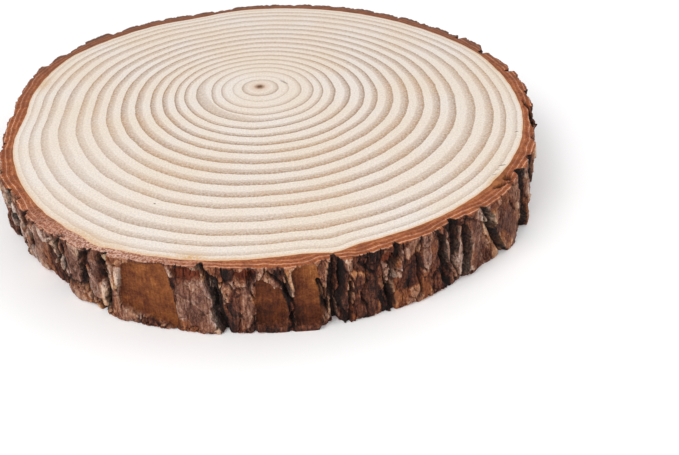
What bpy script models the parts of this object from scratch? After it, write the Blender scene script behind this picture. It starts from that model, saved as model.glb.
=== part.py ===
"""Wood slice: a round sawn across a young conifer trunk, with the bark still on.

Metres, +Z up. The origin is the centre of the underside, and the slice lies flat on z = 0.
Angles are in degrees about +Z from +X, so -90 is the front and 90 is the back.
"""
import math
import random

import bpy

MM = 0.001

# Driving dimensions
WOOD_RADIUS = 108 * MM
THICKNESS = 28 * MM
BARK_THICKNESS = 6.3 * MM
THINNEST_BARK = 1.2 * MM
THICKEST_BARK = 10.2 * MM
FOOT_FLARE = 0.8             # extra bark in mm at the foot, fading to none at the top
FOOT_EASE = (0.4, 0.3)       # share of a furrow's depth left at the foot, and over what height
RIM_EASE = (0.5, 0.2)        # the same at the rim, both heights as a share of the thickness
PLATE_TILT = 0.7             # mm by which a plate's clockwise edge stands over its other edge
JAG = 1.6                    # mm up and down of the broken edge between a plate's two scales
BREAK_SOFTNESS = 1.8         # mm of height over which that edge fades
COARSE_RIDGE = (47, 0.30)    # long ridges: how many round the trunk, and their height in mm
FINE_RIDGE = (71, 0.22)
COLUMNS = 384                # steps of the turned blank, 1.9 mm apart at the rim
ROWS = 12                    # steps up the side of the bark
EDGE_BEVEL = 0.7 * MM        # how far the sawn rims of the bark stay back from its side
LIP = 1.35                   # a furrow's lip ends at this many half widths from its line
BARK_SEED = 11

# Swells and hollows of the trunk's outline: angle, half width in degrees, height in mm
SWELLS = (
    (-134, 20, 3.2),
    (-78, 32, -2.0),
    (-9, 30, 0.9),
    (24, 12, 1.4),
    (110, 9, -2.6),
    (147, 12, 2.6),
    (179, 10, -3.2),
)

# Where the foot of the bark stands out further or stays back: angle, half width in degrees, mm
FOOT_SWELLS = (
    (-88, 34, 1.9),
    (-139, 15, -4.8),
    (-38, 14, 1.4),
)

# Furrows between the bark's plates, seen from above against the clock:
# angle at the top, angle at the foot, half width in mm, depth in mm, and how far the
# plate that follows stands out from the mean bark in mm
FURROWS = (
    (-173.5, -175.0, 1.8, 3.4, -1.6),
    (-165.5, -167.0, 2.2, 4.2, -1.2),
    (-158.0, -160.5, 2.0, 3.6, 0.2),
    (-151.5, -155.0, 2.6, 5.0, -1.4),
    (-146.5, -149.0, 1.8, 3.4, -0.2),
    (-141.7, -144.0, 1.9, 3.8, 0.5),
    (-131.8, -133.8, 2.6, 5.0, 0.4),
    (-125.6, -126.8, 1.6, 2.6, -0.1),
    (-120.8, -122.4, 2.3, 4.4, 0.2),
    (-103.6, -99.6, 2.6, 5.2, 0.0),
    (-94.8, -94.5, 1.4, 1.8, 0.2),
    (-89.2, -87.8, 1.6, 3.0, 0.6),
    (-82.6, -82.8, 1.7, 3.4, -1.5),
    (-79.6, -78.9, 2.3, 4.6, 0.4),
    (-74.2, -75.4, 1.5, 2.0, 0.1),
    (-68.6, -70.6, 1.7, 3.4, -0.2),
    (-63.4, -64.2, 1.6, 2.4, -0.4),
    (-59.4, -56.6, 2.7, 5.0, -0.8),
    (-55.2, -55.0, 1.7, 3.6, -0.6),
    (-52.0, -52.6, 1.8, 3.4, -0.1),
    (-48.6, -41.2, 2.0, 4.2, 1.2),
    (-33.2, -32.2, 2.8, 5.4, -0.3),
    (-27.0, -25.6, 2.3, 4.4, -0.4),
    (-20.0, -21.5, 2.2, 4.6, -1.7),
    (-13.0, -14.5, 1.9, 3.6, -1.8),
    (-5.5, -4.0, 1.7, 3.0, -0.6),
    (1.5, 0.5, 1.6, 2.4, 0.8),
    (9.3, 10.5, 1.9, 4.4, 0.8),
    (16.5, 15.0, 1.5, 2.0, -0.6),
    (25.6, 26.4, 2.4, 4.6, 1.1),
    (36.9, 38.0, 2.2, 4.2, 0.6),
    (45.5, 44.0, 1.8, 3.2, 0.4),
    (86.5, 88.0, 2.0, 3.2, -0.5),
    (98.8, 97.0, 2.4, 4.8, -2.2),
    (104.5, 106.0, 1.8, 2.6, -0.8),
    (132.2, 131.0, 2.0, 3.4, 1.8),
    (139.2, 140.5, 2.0, 3.6, -0.6),
    (147.4, 146.2, 2.1, 3.8, 0.2),
    (152.6, 154.0, 1.9, 3.4, 1.4),
    (159.8, 158.4, 2.0, 4.0, -0.2),
    (170.4, 171.6, 2.0, 3.6, -0.4),
    (179.0, 178.0, 1.8, 3.0, -0.3),
)
# Stretches without a named furrow, from a start to an end angle, and the mean angle between
# the furrows that a rule sets there
QUIET_SIDES = ((45.5, 86.5), (104.5, 132.2))
QUIET_SPACING = 6.6

# Places where an outer scale has fallen off and left smooth inner bark:
# start and end angle, lowest and highest z in mm, bark left there in mm
BARE_PATCHES = (
    (-119.4, -108.8, 1.0, 26.6, 5.8),
    (-94.2, -89.2, 1.0, 19.6, 5.4),
    (-88.2, -83.6, 1.0, 26.8, 6.1),
    (58.0, 66.0, 6.0, 25.5, 4.6),
    (117.0, 124.0, 1.5, 21.0, 4.2),
    (-164.0, -159.0, 4.0, 22.0, 4.4),
)

# Nicks under the top rim where the scales broke away: centre, half width in degrees,
# lowest and highest z in mm, depth in mm
NICKS = (
    (-106.4, 2.3, 21.6, 27.2, 2.0),
    (-95.8, 2.0, 21.6, 26.8, 2.0),
    (-70.2, 1.4, 20.0, 26.0, 1.4),
    (72.0, 2.4, 18.0, 25.4, 2.0),
    (155.5, 2.0, 17.0, 25.2, 1.8),
)


def angle_between(angle, centre):
    """Signed angle in degrees from centre to angle, from -180 to 180."""
    return (angle - centre + 180) % 360 - 180


def smooth_step(value):
    """Ease from 0 to 1 as value goes from 0 to 1."""
    value = min(max(value, 0.0), 1.0)
    return value * value * (3 - 2 * value)


def quiet_furrows(rng):
    """Furrows of the sides without named ones, spaced by rule with a seeded draw."""
    furrows = []
    for start, end in QUIET_SIDES:
        count = round((end - start) / QUIET_SPACING) - 1
        step = (end - start) / (count + 1)
        for number in range(1, count + 1):
            top = start + step * (number + rng.uniform(-0.22, 0.22))
            foot = top + rng.uniform(-1.8, 1.8)
            half_width = rng.uniform(1.6, 2.5)
            depth = rng.uniform(2.4, 4.8)
            furrows.append((top, foot, half_width, depth, rng.uniform(-0.7, 0.9)))
    return furrows


def plate_breaks(furrows, rng):
    """For each plate, the height where its lower scale ends and how far that one stands out."""
    breaks = []
    for _ in furrows:
        breaks.append((rng.uniform(6, 21), rng.uniform(-1.0, 1.0)))
    return breaks


def outline(angle):
    """Radius of the wood: a circle with a smooth bell for each swell or hollow."""
    radius = WOOD_RADIUS
    for centre, half_width, height in SWELLS:
        radius += height * MM * math.exp(-(angle_between(angle, centre) / half_width) ** 2)
    return radius


def furrow_line(furrow, up):
    """Angle of a furrow's bottom line at a height from 0 (underside) to 1 (top)."""
    top, foot = furrow[:2]
    wander = 0.5 * math.sin(7 * up + top) + 0.25 * math.sin(15 * up + 2.3 * top)
    return foot + (top - foot) * up + wander


def plate_height(angle, up, furrows, breaks):
    """How far the plate at this angle and height stands out, in mm: crowned between furrows."""
    lines = [furrow_line(furrow, up) for furrow in furrows]
    nearest = min(range(len(lines)), key=lambda i: (angle - lines[i]) % 360)
    start = lines[nearest]
    end = lines[(nearest + 1) % len(lines)]
    across = ((angle - start) % 360) / ((end - start) % 360)
    height, lower_step = breaks[nearest]
    height += JAG * math.sin(0.9 * angle + nearest)
    lower = 1 - smooth_step((up * THICKNESS / MM - height) / BREAK_SOFTNESS + 0.5)
    crown = 1 - (2 * across - 1) ** 4
    return crown * (furrows[nearest][4] + lower * lower_step + PLATE_TILT * (0.5 - across))


def furrow_depth(angle, up, furrows):
    """Depth of the furrows here, in mm: each is a V with a rounded lip and bottom, and eases
    off towards the foot and the rim."""
    depth = 0.0
    for furrow in furrows:
        across = angle_between(angle, furrow_line(furrow, up))
        distance = abs(math.radians(across)) * WOOD_RADIUS / MM
        depth = max(depth, furrow[3] * smooth_step(1 - distance / (LIP * furrow[2])))
    depth *= FOOT_EASE[0] + (1 - FOOT_EASE[0]) * smooth_step(up / FOOT_EASE[1])
    return depth * (RIM_EASE[0] + (1 - RIM_EASE[0]) * smooth_step((1 - up) / RIM_EASE[1]))


def foot_flare(angle, up):
    """How far the bark stands out in mm as it nears the foot: a flare and its swells."""
    flare = FOOT_FLARE
    for centre, half_width, height in FOOT_SWELLS:
        flare += height * math.exp(-(angle_between(angle, centre) / half_width) ** 2)
    return flare * (1 - up)


def ridges(angle, up):
    """Long shallow ridges up the bark, in mm, from waves that bend with the height."""
    bend = math.sin(4.5 * up + math.radians(8 * angle))
    coarse = math.sin(math.radians(COARSE_RIDGE[0] * angle) + 1.5 * bend)
    fine = math.sin(math.radians(FINE_RIDGE[0] * angle) - 2.1 * bend + 6 * up)
    return COARSE_RIDGE[1] * coarse + FINE_RIDGE[1] * fine


def patch_share(angle, z_mm, patch):
    """1 well inside a bare patch and 0 outside it, with a rounded outline."""
    start, end, low, high = patch[:4]
    across = angle_between(angle, (start + end) / 2) / ((end - start) / 2)
    along = (z_mm - (low + high) / 2) / ((high - low) / 2)
    return smooth_step((1.12 - (across ** 4 + along ** 6) ** 0.25) / 0.22)


def bark_thickness(angle, up, furrows, breaks):
    """Thickness of the bark in metres: plates and ridges, less furrows, patches and nicks."""
    z_mm = up * THICKNESS / MM
    relief = BARK_THICKNESS / MM + plate_height(angle, up, furrows, breaks) + ridges(angle, up)
    relief += foot_flare(angle, up) - furrow_depth(angle, up, furrows)
    for patch in BARE_PATCHES:
        share = patch_share(angle, z_mm, patch)
        relief += (patch[4] - relief) * share
    for centre, half_width, low, high, depth in NICKS:
        across = angle_between(angle, centre) / half_width
        along = (z_mm - (low + high) / 2) / ((high - low) / 2)
        relief -= depth * smooth_step(1.4 - (across ** 4 + along ** 4) ** 0.25)
    return min(max(relief * MM, THINNEST_BARK), THICKEST_BARK)


def wood_material():
    """Sanded end grain of pale softwood."""
    material = bpy.data.materials.new("sawn_wood")
    material.use_nodes = True
    shader = material.node_tree.nodes["Principled BSDF"]
    shader.inputs["Base Color"].default_value = (0.80, 0.66, 0.50, 1)
    shader.inputs["Roughness"].default_value = 0.62
    shader.inputs["Metallic"].default_value = 0
    return material


def bark_material():
    """Dry conifer bark, red-brown under grey scales."""
    material = bpy.data.materials.new("bark")
    material.use_nodes = True
    shader = material.node_tree.nodes["Principled BSDF"]
    shader.inputs["Base Color"].default_value = (0.16, 0.075, 0.042, 1)
    shader.inputs["Roughness"].default_value = 0.88
    shader.inputs["Metallic"].default_value = 0
    return material


def slice_profile():
    """Half section of the turned blank, from the middle of the top round to the underside."""
    rim = WOOD_RADIUS + BARK_THICKNESS
    points = [(0, THICKNESS), (WOOD_RADIUS, THICKNESS), (rim, THICKNESS)]
    for row in range(1, ROWS):
        points.append((rim, THICKNESS * (1 - row / ROWS)))
    points += [(rim, 0), (WOOD_RADIUS, 0), (0, 0)]
    return points


def turned_blank(name):
    """Turn the half section about +Z with a Screw modifier and return the closed mesh."""
    profile = bpy.data.meshes.new(name + "_profile")
    points = [(x, 0, z) for x, z in slice_profile()]
    edges = [(i, i + 1) for i in range(len(points) - 1)]
    profile.from_pydata(points, edges, [])
    turned = bpy.data.objects.new(name + "_profile", profile)
    bpy.context.scene.collection.objects.link(turned)
    screw = turned.modifiers.new("turn", "SCREW")
    screw.axis = "Z"
    screw.angle = math.radians(360)
    screw.steps = COLUMNS
    screw.render_steps = COLUMNS
    screw.use_merge_vertices = True
    screw.merge_threshold = 0.00001
    bpy.context.view_layer.update()
    evaluated = turned.evaluated_get(bpy.context.evaluated_depsgraph_get())
    mesh = bpy.data.meshes.new_from_object(evaluated)
    bpy.data.objects.remove(turned)
    bpy.data.meshes.remove(profile)
    mesh.name = name
    return mesh


def shape_slice(mesh, furrows, breaks):
    """Move the blank's points out to the trunk's outline and the relief of its bark."""
    for vertex in mesh.vertices:
        x, y, z = vertex.co
        reach = math.hypot(x, y)
        if reach < WOOD_RADIUS / 2:
            continue
        angle = math.degrees(math.atan2(y, x))
        radius = outline(angle)
        if reach > WOOD_RADIUS + BARK_THICKNESS / 2:
            up = z / THICKNESS
            on_rim = up < 0.5 / ROWS or up > 1 - 0.5 / ROWS
            radius += bark_thickness(angle, up, furrows, breaks) - EDGE_BEVEL * on_rim
        vertex.co = (radius * x / reach, radius * y / reach, z)


def paint_faces(mesh):
    """Give the two sawn wood faces the first material and the bark the second."""
    for face in mesh.polygons:
        is_wood = math.hypot(face.center.x, face.center.y) < 0.9 * WOOD_RADIUS
        face.material_index = 0 if is_wood else 1


def make_slice(collection):
    """Build the one piece: wood with the bark that grew on it."""
    rng = random.Random(BARK_SEED)
    furrows = sorted(list(FURROWS) + quiet_furrows(rng))
    breaks = plate_breaks(furrows, rng)
    mesh = turned_blank("wood_slice")
    shape_slice(mesh, furrows, breaks)
    mesh.materials.clear()
    mesh.materials.append(wood_material())
    mesh.materials.append(bark_material())
    paint_faces(mesh)
    mesh.shade_smooth()
    mesh.set_sharp_from_angle(angle=math.radians(40))
    piece = bpy.data.objects.new("wood_slice", mesh)
    collection.objects.link(piece)
    return piece


for leftover in list(bpy.data.objects):
    bpy.data.objects.remove(leftover)
parts = bpy.data.collections.new("wood_slice_parts")
bpy.context.scene.collection.children.link(parts)
make_slice(parts)
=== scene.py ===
# %% [markdown]
# # A slice of a young conifer, with its bark
# The real object was sawn straight across a trunk: pale sapwood with its growth rings, and the
# bark that grew round it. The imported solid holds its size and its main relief. This script
# works the same formulas out on much finer grids, adds the scales, cracks and rings that are
# too small for the solid, and finishes them with materials made of nodes.

import math
import random

import bpy
import numpy as np
from mathutils import Matrix, Vector


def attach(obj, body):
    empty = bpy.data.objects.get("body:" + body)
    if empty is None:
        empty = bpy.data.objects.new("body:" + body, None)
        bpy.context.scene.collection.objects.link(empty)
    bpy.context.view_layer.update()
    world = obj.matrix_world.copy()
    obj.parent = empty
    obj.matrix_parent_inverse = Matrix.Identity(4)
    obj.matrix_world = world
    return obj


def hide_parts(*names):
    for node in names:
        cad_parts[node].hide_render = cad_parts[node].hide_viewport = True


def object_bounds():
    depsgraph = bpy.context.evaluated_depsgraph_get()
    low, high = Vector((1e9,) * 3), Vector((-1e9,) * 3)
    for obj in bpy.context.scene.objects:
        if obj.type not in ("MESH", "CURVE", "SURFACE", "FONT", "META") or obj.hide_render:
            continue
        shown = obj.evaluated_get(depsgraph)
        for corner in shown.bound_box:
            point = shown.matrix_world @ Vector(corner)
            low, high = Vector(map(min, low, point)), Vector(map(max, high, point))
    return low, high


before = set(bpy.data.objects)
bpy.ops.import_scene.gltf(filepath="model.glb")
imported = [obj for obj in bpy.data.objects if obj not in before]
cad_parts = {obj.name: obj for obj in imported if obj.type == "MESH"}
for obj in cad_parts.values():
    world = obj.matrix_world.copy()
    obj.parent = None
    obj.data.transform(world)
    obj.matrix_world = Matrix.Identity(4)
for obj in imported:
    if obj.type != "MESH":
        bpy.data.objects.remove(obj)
cad_box = [list(corner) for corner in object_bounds()]
print("CAD box in metres:", cad_box)

# %% [markdown]
# ## Sizes
# Every formula below works in millimetres, as a sawyer would measure, and the meshes are
# turned to metres when they are made. The thickness is the height of the imported solid. The
# outline is a circle with soft swells and hollows, because a trunk is never round: each is a
# bell curve added to the radius. Angles are in degrees from the right, so -90 is the front.

# %% Sizes of the slice
MM = 0.001
THICKNESS = (cad_box[1][2] - cad_box[0][2]) / MM
WOOD_RADIUS = 108.0

# Swells and hollows of the trunk: angle, half width in degrees, height in mm
SWELLS = (
    (-134, 20, 3.2),
    (-78, 32, -2.0),
    (-9, 30, 0.9),
    (24, 12, 1.4),
    (110, 9, -2.6),
    (147, 12, 2.6),
    (179, 10, -3.2),
)


def angle_between(angle, centre):
    """Signed angle in degrees from centre to angle, wrapped to run from -180 to 180."""
    return (angle - centre + 180) % 360 - 180


def smooth_step(value):
    """Ease from 0 to 1: three times the square less twice the cube of the clamped value."""
    value = np.clip(value, 0.0, 1.0)
    return value * value * (3 - 2 * value)


def bell(distance, half_width):
    """1 in the middle and falling off: e to the minus square of distance over half width."""
    return np.exp(-(distance / half_width) ** 2)


def add_bells(start, angle, bumps):
    """Start plus each bump's height times its bell. A bump is an angle, a half width in
    degrees and a height."""
    for centre, half_width, height in bumps:
        start = start + height * bell(angle_between(angle, centre), half_width)
    return start


def outline(angle):
    """Radius of the wood in mm: the mean radius, plus each swell's height times its bell."""
    return add_bells(np.full(np.shape(angle), WOOD_RADIUS), angle, SWELLS)


print("slice", round(THICKNESS, 2), "mm thick on wood of radius", WOOD_RADIUS, "mm")

# %% [markdown]
# ## Camera
# The photograph was taken from the front, 28 degrees above the top face, with the camera
# rolled a little and the slice left of the middle. One could drag a camera about until it
# fits, but these few values say it exactly. The camera first looks straight at the middle of
# the top face, is rolled, and is then turned so that this point falls on its pixel.

# %% Camera
PHOTO_WIDTH = 679
PHOTO_HEIGHT = 455
SENSOR_WIDTH = 36.0
LENS = 49.74
ELEVATION = math.radians(28.42)
ROLL = math.radians(-3.10)
DISTANCE = 0.41265
AIM_PIXEL = (269.5, 106.8)    # where the middle of the top face lies in the photograph

camera_data = bpy.data.cameras.new("camera")
camera_data.sensor_fit = "HORIZONTAL"
camera_data.sensor_width = SENSOR_WIDTH
camera_data.lens = LENS
camera_data.clip_start = 0.01
camera = bpy.data.objects.new("camera", camera_data)
bpy.context.scene.collection.objects.link(camera)
bpy.context.scene.camera = camera

target = Vector((0, 0, THICKNESS * MM))
back = Vector((0, -math.cos(ELEVATION), math.sin(ELEVATION)))
right = Vector((1, 0, 0))
up_axis = back.cross(right)
straight = Matrix((right, up_axis, back)).transposed()
focal_pixels = LENS / SENSOR_WIDTH * PHOTO_WIDTH
aim_ray = Vector((
    (AIM_PIXEL[0] - PHOTO_WIDTH / 2) / focal_pixels,
    (PHOTO_HEIGHT / 2 - AIM_PIXEL[1]) / focal_pixels,
    -1,
))
to_middle = aim_ray.rotation_difference(Vector((0, 0, -1))).to_matrix()
turn = straight @ Matrix.Rotation(ROLL, 3, "Z") @ to_middle
camera.matrix_world = Matrix.Translation(target + back * DISTANCE) @ turn.to_4x4()
print("camera at", [round(value, 4) for value in camera.matrix_world.translation])

# %% [markdown]
# ## Light and floor
# The slice was shot for a shop window: white all round, with a large soft light high on the
# left, enough light from the front to open up the bark, and one from behind that clears the
# shadows off the paper. Broad area lights and a bright world give that. The floor is a plain
# pale sheet, so wide that its edge is never seen.

# %% Light and floor
FLOOR_RADIUS = 4.0
FLOOR_COLUMNS = 64


def linear(code):
    """A colour of four linear numbers from an sRGB hex code, by the sRGB transfer curve."""
    levels = [int(code[i:i + 2], 16) / 255 for i in (1, 3, 5)]
    turned = [v / 12.92 if v <= 0.04045 else ((v + 0.055) / 1.055) ** 2.4 for v in levels]
    return (*turned, 1.0)


def add(tree, kind, inputs=(), stops=(), out=0, **settings):
    """Add a shader node and give back one of its outputs. Inputs are values or other nodes'
    outputs, in order or by name or number, stops are a colour ramp's places and colours, and
    settings are the node's own properties."""
    node = tree.nodes.new("ShaderNode" + kind)
    for name, value in settings.items():
        setattr(node, name, value)
    for name, value in inputs.items() if isinstance(inputs, dict) else enumerate(inputs):
        if isinstance(value, bpy.types.NodeSocket):
            tree.links.new(value, node.inputs[name])
        else:
            node.inputs[name].default_value = value
    for number, (place, code) in enumerate(stops):
        elements = node.color_ramp.elements
        stop = elements[number] if number < 2 else elements.new(place)
        stop.position = place
        stop.color = linear(code)
    return node.outputs[out]


def new_material(name):
    """An empty node material with a Principled shader, and its tree and shader."""
    material = bpy.data.materials.new(name)
    material.use_nodes = True
    tree = material.node_tree
    return material, tree, tree.nodes["Principled BSDF"]


def add_softbox(name, place, aim, width, power):
    """A square area light at a place, facing its aim, in metres and watts."""
    light = bpy.data.lights.new(name, "AREA")
    light.shape = "SQUARE"
    light.size = width
    light.energy = power
    lamp = bpy.data.objects.new(name, light)
    bpy.context.scene.collection.objects.link(lamp)
    lamp.location = place
    lamp.rotation_euler = (Vector(aim) - Vector(place)).to_track_quat("-Z", "Y").to_euler()
    return lamp


add_softbox("key_light", (-0.7, -0.6, 1.1), (0, 0, 0), 0.8, 9.0)
add_softbox("front_light", (0.25, -1.2, 0.55), (0, 0, 0.01), 0.7, 4.5)
add_softbox("back_light", (0.9, 0.9, 1.2), (0.3, 0.3, 0), 1.4, 7.0)

world = bpy.data.worlds.new("white_studio")
world.use_nodes = True
sky = world.node_tree.nodes["Background"]
sky.inputs["Color"].default_value = linear("#FBFBFD")
sky.inputs["Strength"].default_value = 0.62
bpy.context.scene.world = world
bpy.context.scene.view_settings.view_transform = "Standard"

floor_mesh = bpy.data.meshes.new("floor")
turns = np.linspace(0, 2 * np.pi, FLOOR_COLUMNS, endpoint=False)
floor_points = np.stack([np.cos(turns), np.sin(turns), np.zeros(FLOOR_COLUMNS)], axis=1)
floor_mesh.from_pydata(floor_points * FLOOR_RADIUS, [], [list(range(FLOOR_COLUMNS))])
floor = bpy.data.objects.new("floor", floor_mesh)
bpy.context.scene.collection.objects.link(floor)
floor_material, tree, shader = new_material("matt_paper_sweep")
shader.inputs["Base Color"].default_value = linear("#FDFCFB")
shader.inputs["Roughness"].default_value = 0.9
floor_mesh.materials.append(floor_material)

# %% [markdown]
# ## Random fields that repeat on every run
# Bark and grain need randomness that follows a place, not a draw. A hash turns the numbers of
# a cell into a fixed random number. Blending the corners of each cell gives a smooth field,
# and adding finer and fainter copies gives a natural one. A noise of the modelling program
# would do for the colour, but not for the shape.

# %% Random fields
def cell_random(i, j, k, seed):
    """A number from 0 to 1 for each whole-numbered cell: its three numbers times large odd
    numbers, mixed by exclusive or, multiplied once more and cut to 24 bits."""
    mixed = (i * 73856093) ^ (j * 19349663) ^ (k * 83492791) ^ (seed * 2654435761)
    mixed = mixed & 0xFFFFFFFF
    mixed = ((mixed ^ (mixed >> 13)) * 1274126177) & 0xFFFFFFFF
    mixed = mixed ^ (mixed >> 16)
    return (mixed & 0xFFFFFF) / 0xFFFFFF


def smooth_noise(x, y, z, seed):
    """Smooth field from 0 to 1: the random numbers of the eight corners of each unit cell,
    blended along each axis by the smooth step of the place within the cell."""
    places = [np.asarray(value, float) for value in (x, y, z)]
    i, j, k = (np.floor(value).astype(np.int64) for value in places)
    u, v, w = (smooth_step(value - np.floor(value)) for value in places)
    total = 0.0
    for corner in range(8):
        di, dj, dk = corner & 1, corner >> 1 & 1, corner >> 2 & 1
        share = (u if di else 1 - u) * (v if dj else 1 - v) * (w if dk else 1 - w)
        total = total + share * cell_random(i + di, j + dj, k + dk, seed)
    return total


def fractal(x, y, z, seed, octaves=4):
    """Rough field about 0, from -1 to 1: smooth noise, and copies of twice the fineness and
    0.55 of the height added to it."""
    total, height, whole = 0.0, 1.0, 0.0
    for octave in range(octaves):
        fineness = 2 ** octave
        layer = smooth_noise(x * fineness, y * fineness, z * fineness, seed + octave)
        total = total + height * (2 * layer - 1)
        whole += height
        height *= 0.55
    return total / whole


def trunk_noise(angle, z, wide, tall, seed, octaves=4):
    """Fractal field on the trunk with features wide mm round it and tall mm up it. It reads
    the place in space, so it closes on itself round the trunk."""
    x = WOOD_RADIUS * np.cos(np.radians(angle)) / wide
    y = WOOD_RADIUS * np.sin(np.radians(angle)) / wide
    return fractal(x, y, z / tall, seed, octaves)


print("a first random number:", round(float(cell_random(1, 2, 3, 4)), 4))

# %% [markdown]
# ## Cells for flakes and chips
# Bark comes away in pieces, and a smooth field has none. So one point is thrown into each
# cell of a grid, every place belongs to the nearest point, and a border lies where two are
# equally near. A cell texture in the material could draw this, but the shape needs the same
# cells, so that one number sets a flake's height and its tone.

# %% Cells for flakes and chips
def scale_cells(around, z, wide, tall, seed):
    """Scales of a mean width and height in mm: for each point its cell's random number, how
    far it lies from the cell's point across and up (in cells), and how much nearer it is to
    its own cell's point than to the next (0 on the border)."""
    count = max(3, round(2 * np.pi * WOOD_RADIUS / wide))
    s = around / (2 * np.pi * WOOD_RADIUS) * count
    t = z / tall
    i, j = np.floor(s).astype(np.int64), np.floor(t).astype(np.int64)
    nearest = np.full(s.shape, 9.0)
    second = np.full(s.shape, 9.0)
    number = np.zeros(s.shape)
    across = np.zeros(s.shape)
    along = np.zeros(s.shape)
    for di in (-1, 0, 1):
        for dj in (-1, 0, 1):
            column = (i + di) % count
            dx = s - (i + di + 0.1 + 0.8 * cell_random(column, j + dj, 0, seed))
            dy = t - (j + dj + 0.1 + 0.8 * cell_random(column, j + dj, 1, seed))
            distance = np.hypot(dx, dy)
            closer = distance < nearest
            second = np.where(closer, nearest, np.minimum(second, distance))
            number = np.where(closer, cell_random(column, j + dj, 2, seed), number)
            across = np.where(closer, dx, across)
            along = np.where(closer, dy, along)
            nearest = np.where(closer, distance, nearest)
    return number, across, along, second - nearest


print("cells of 5 mm round the trunk:", round(2 * np.pi * WOOD_RADIUS / 5))

# %% [markdown]
# ## The wood: a disc on a grid of years
# A tree adds one ring a year, so the natural grid for the sawn face is age by direction, and
# not x by y. The rings start at the pith, which lies well behind the middle, and slide and
# swell until the last one has the outline of the trunk. Each vertex keeps its age, and the
# material only has to read the fraction of that number. Rings drawn in an image or by a plain
# wave texture would be round and even, and these drift and bend as the real ones do.

# %% Where the rings lie
PITH = (-3.9, 19.5)
SLIDE_POWER = 1.1     # how fast the rings' centres slide from the pith to the middle
SWELL_POWER = 3       # how late the trunk's swells show in the rings
# Radius in mm at which each year's growth ended
YEAR_ENDS = (
    8.3, 12.6, 18.0, 23.4, 28.3, 33.6, 39.0, 44.8, 50.2, 56.9,
    63.3, 69.6, 76.2, 82.5, 90.0, 96.9, 101.8, 106.0, 110.0,
)
# Places where rings bulge or draw in: angle, half width, height in mm, at which radius, spread
WOBBLES = (
    (-112, 16, 1.6, 80, 14),
    (-48, 18, -1.3, 62, 12),
    (-72, 20, -0.8, 32, 10),
    (-10, 20, 0.6, 35, 20),
    (180, 50, 1.4, 31, 6),
    (0, 45, -1.7, 31, 6),
    (180, 40, -1.2, 23, 3),
)
KINK = (-104, 5.0, 0.35)    # a crease in the outer rings: angle, half width, height in mm
KINK_FROM, KINK_TO = (62, 12), (98, 6)    # radius where it starts and ends, over how far


def ring_point(radius, angle):
    """Plan place in mm of the ring of a mean radius, in a direction: its centre slides from
    the pith to the origin as one less the radius share to a power, and its reach is the
    radius plus the outline's departure times the cube of the share, plus the wobbles."""
    share = radius / WOOD_RADIUS
    slide = 1 - share ** SLIDE_POWER
    reach = radius + (outline(angle) - WOOD_RADIUS) * share ** SWELL_POWER
    for centre, half_width, height, at, spread in WOBBLES:
        here = bell(angle_between(angle, centre), half_width) * bell(radius - at, spread)
        reach = reach + height * here
    centre, half_width, height = KINK
    crease = np.clip(1 - np.abs(angle_between(angle, centre)) / half_width, 0, 1)
    starts, ends = (smooth_step((radius - at) / over) for at, over in (KINK_FROM, KINK_TO))
    outer = starts * (1 - ends)
    reach = reach + height * crease * outer
    x = PITH[0] * slide + reach * np.cos(np.radians(angle))
    y = PITH[1] * slide + reach * np.sin(np.radians(angle))
    return x, y


pith_x, pith_y = ring_point(0.0, 0.0)
print("rings:", len(YEAR_ENDS), "years round a pith at", float(pith_x), float(pith_y), "mm")

# %% [markdown]
# ## How dark each ring is
# Wood grown in spring is cream, and the denser summer wood that ends each year is tan. The
# share of the year that is dark and the strength of its colour change with age and direction:
# thin faint lines round the pith, broad bands at the front, softer ones at the back, and one
# year that is tan nearly all through on the left of the pith. These numbers go to the
# vertices, so one material can draw every ring.

# %% How dark each ring is
LATE_SHARE = (
    0.34, 0.34, 0.40, 0.44, 0.44, 0.44, 0.46, 0.48, 0.52, 0.55,
    0.57, 0.55, 0.55, 0.55, 0.52, 0.52, 0.52, 0.46, 0.40,
)
LATE_STRENGTH = (
    0.50, 0.30, 0.50, 0.62, 0.72, 0.86, 0.95, 1.0, 1.0, 1.0,
    1.0, 1.0, 0.98, 0.96, 0.84, 0.90, 0.84, 0.50, 0.30,
)
TAN_YEAR = (4, -140, 45, 0.62)   # the year filled with tan: number, angle, half width, share
FRONT, BACK = -90, 90
BACK_FADE = (60, 0.22)       # softer bands at the back: half width, share lost
FADED = (-152, 32, 0.40)     # faint outer bands: angle, half width, share lost
OUTER_BANDS = (10, 3)        # age from which bands are outer ones, over how many years


def year_of(radius):
    """Age in years at a mean radius: counted up evenly between one year's end and the next."""
    return np.interp(radius, (0.0,) + YEAR_ENDS, range(len(YEAR_ENDS) + 1))


def late_wood(age, angle):
    """Share of the year that is dark, and its strength, from the two lists, blended at the
    year's start, with the tan year's extra share and the softer back."""
    year = np.clip(np.floor(age - 1e-6), 0, len(LATE_SHARE) - 1).astype(int)
    number, centre, half_width, extra = TAN_YEAR
    share = np.array(LATE_SHARE)[year]
    share = share + (year == number) * extra * bell(angle_between(angle, centre), half_width)
    strength = np.array(LATE_STRENGTH)[year]
    half_width, lost = BACK_FADE
    strength = strength * (1 - lost * bell(angle_between(angle, BACK), half_width))
    outer = smooth_step((age - OUTER_BANDS[0]) / OUTER_BANDS[1])
    centre, half_width, lost = FADED
    strength = strength * (1 - lost * outer * bell(angle_between(angle, centre), half_width))
    return share, strength


share, strength = late_wood(np.array([4.5, 10.5]), np.array([-132.0, -90.0]))
print("late share and strength at two places:", share.round(2), strength.round(2))

# %% [markdown]
# ## Building closed grids
# Both the disc and the ring of bark are grids that close on themselves round the trunk. One
# function turns rows of points into a mesh: each row is a loop round the trunk, and every
# four neighbours make a face. The disc ends in a single point above and below, the ring joins
# its last row to its first. Values that the material reads are stored on the vertices.

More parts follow.
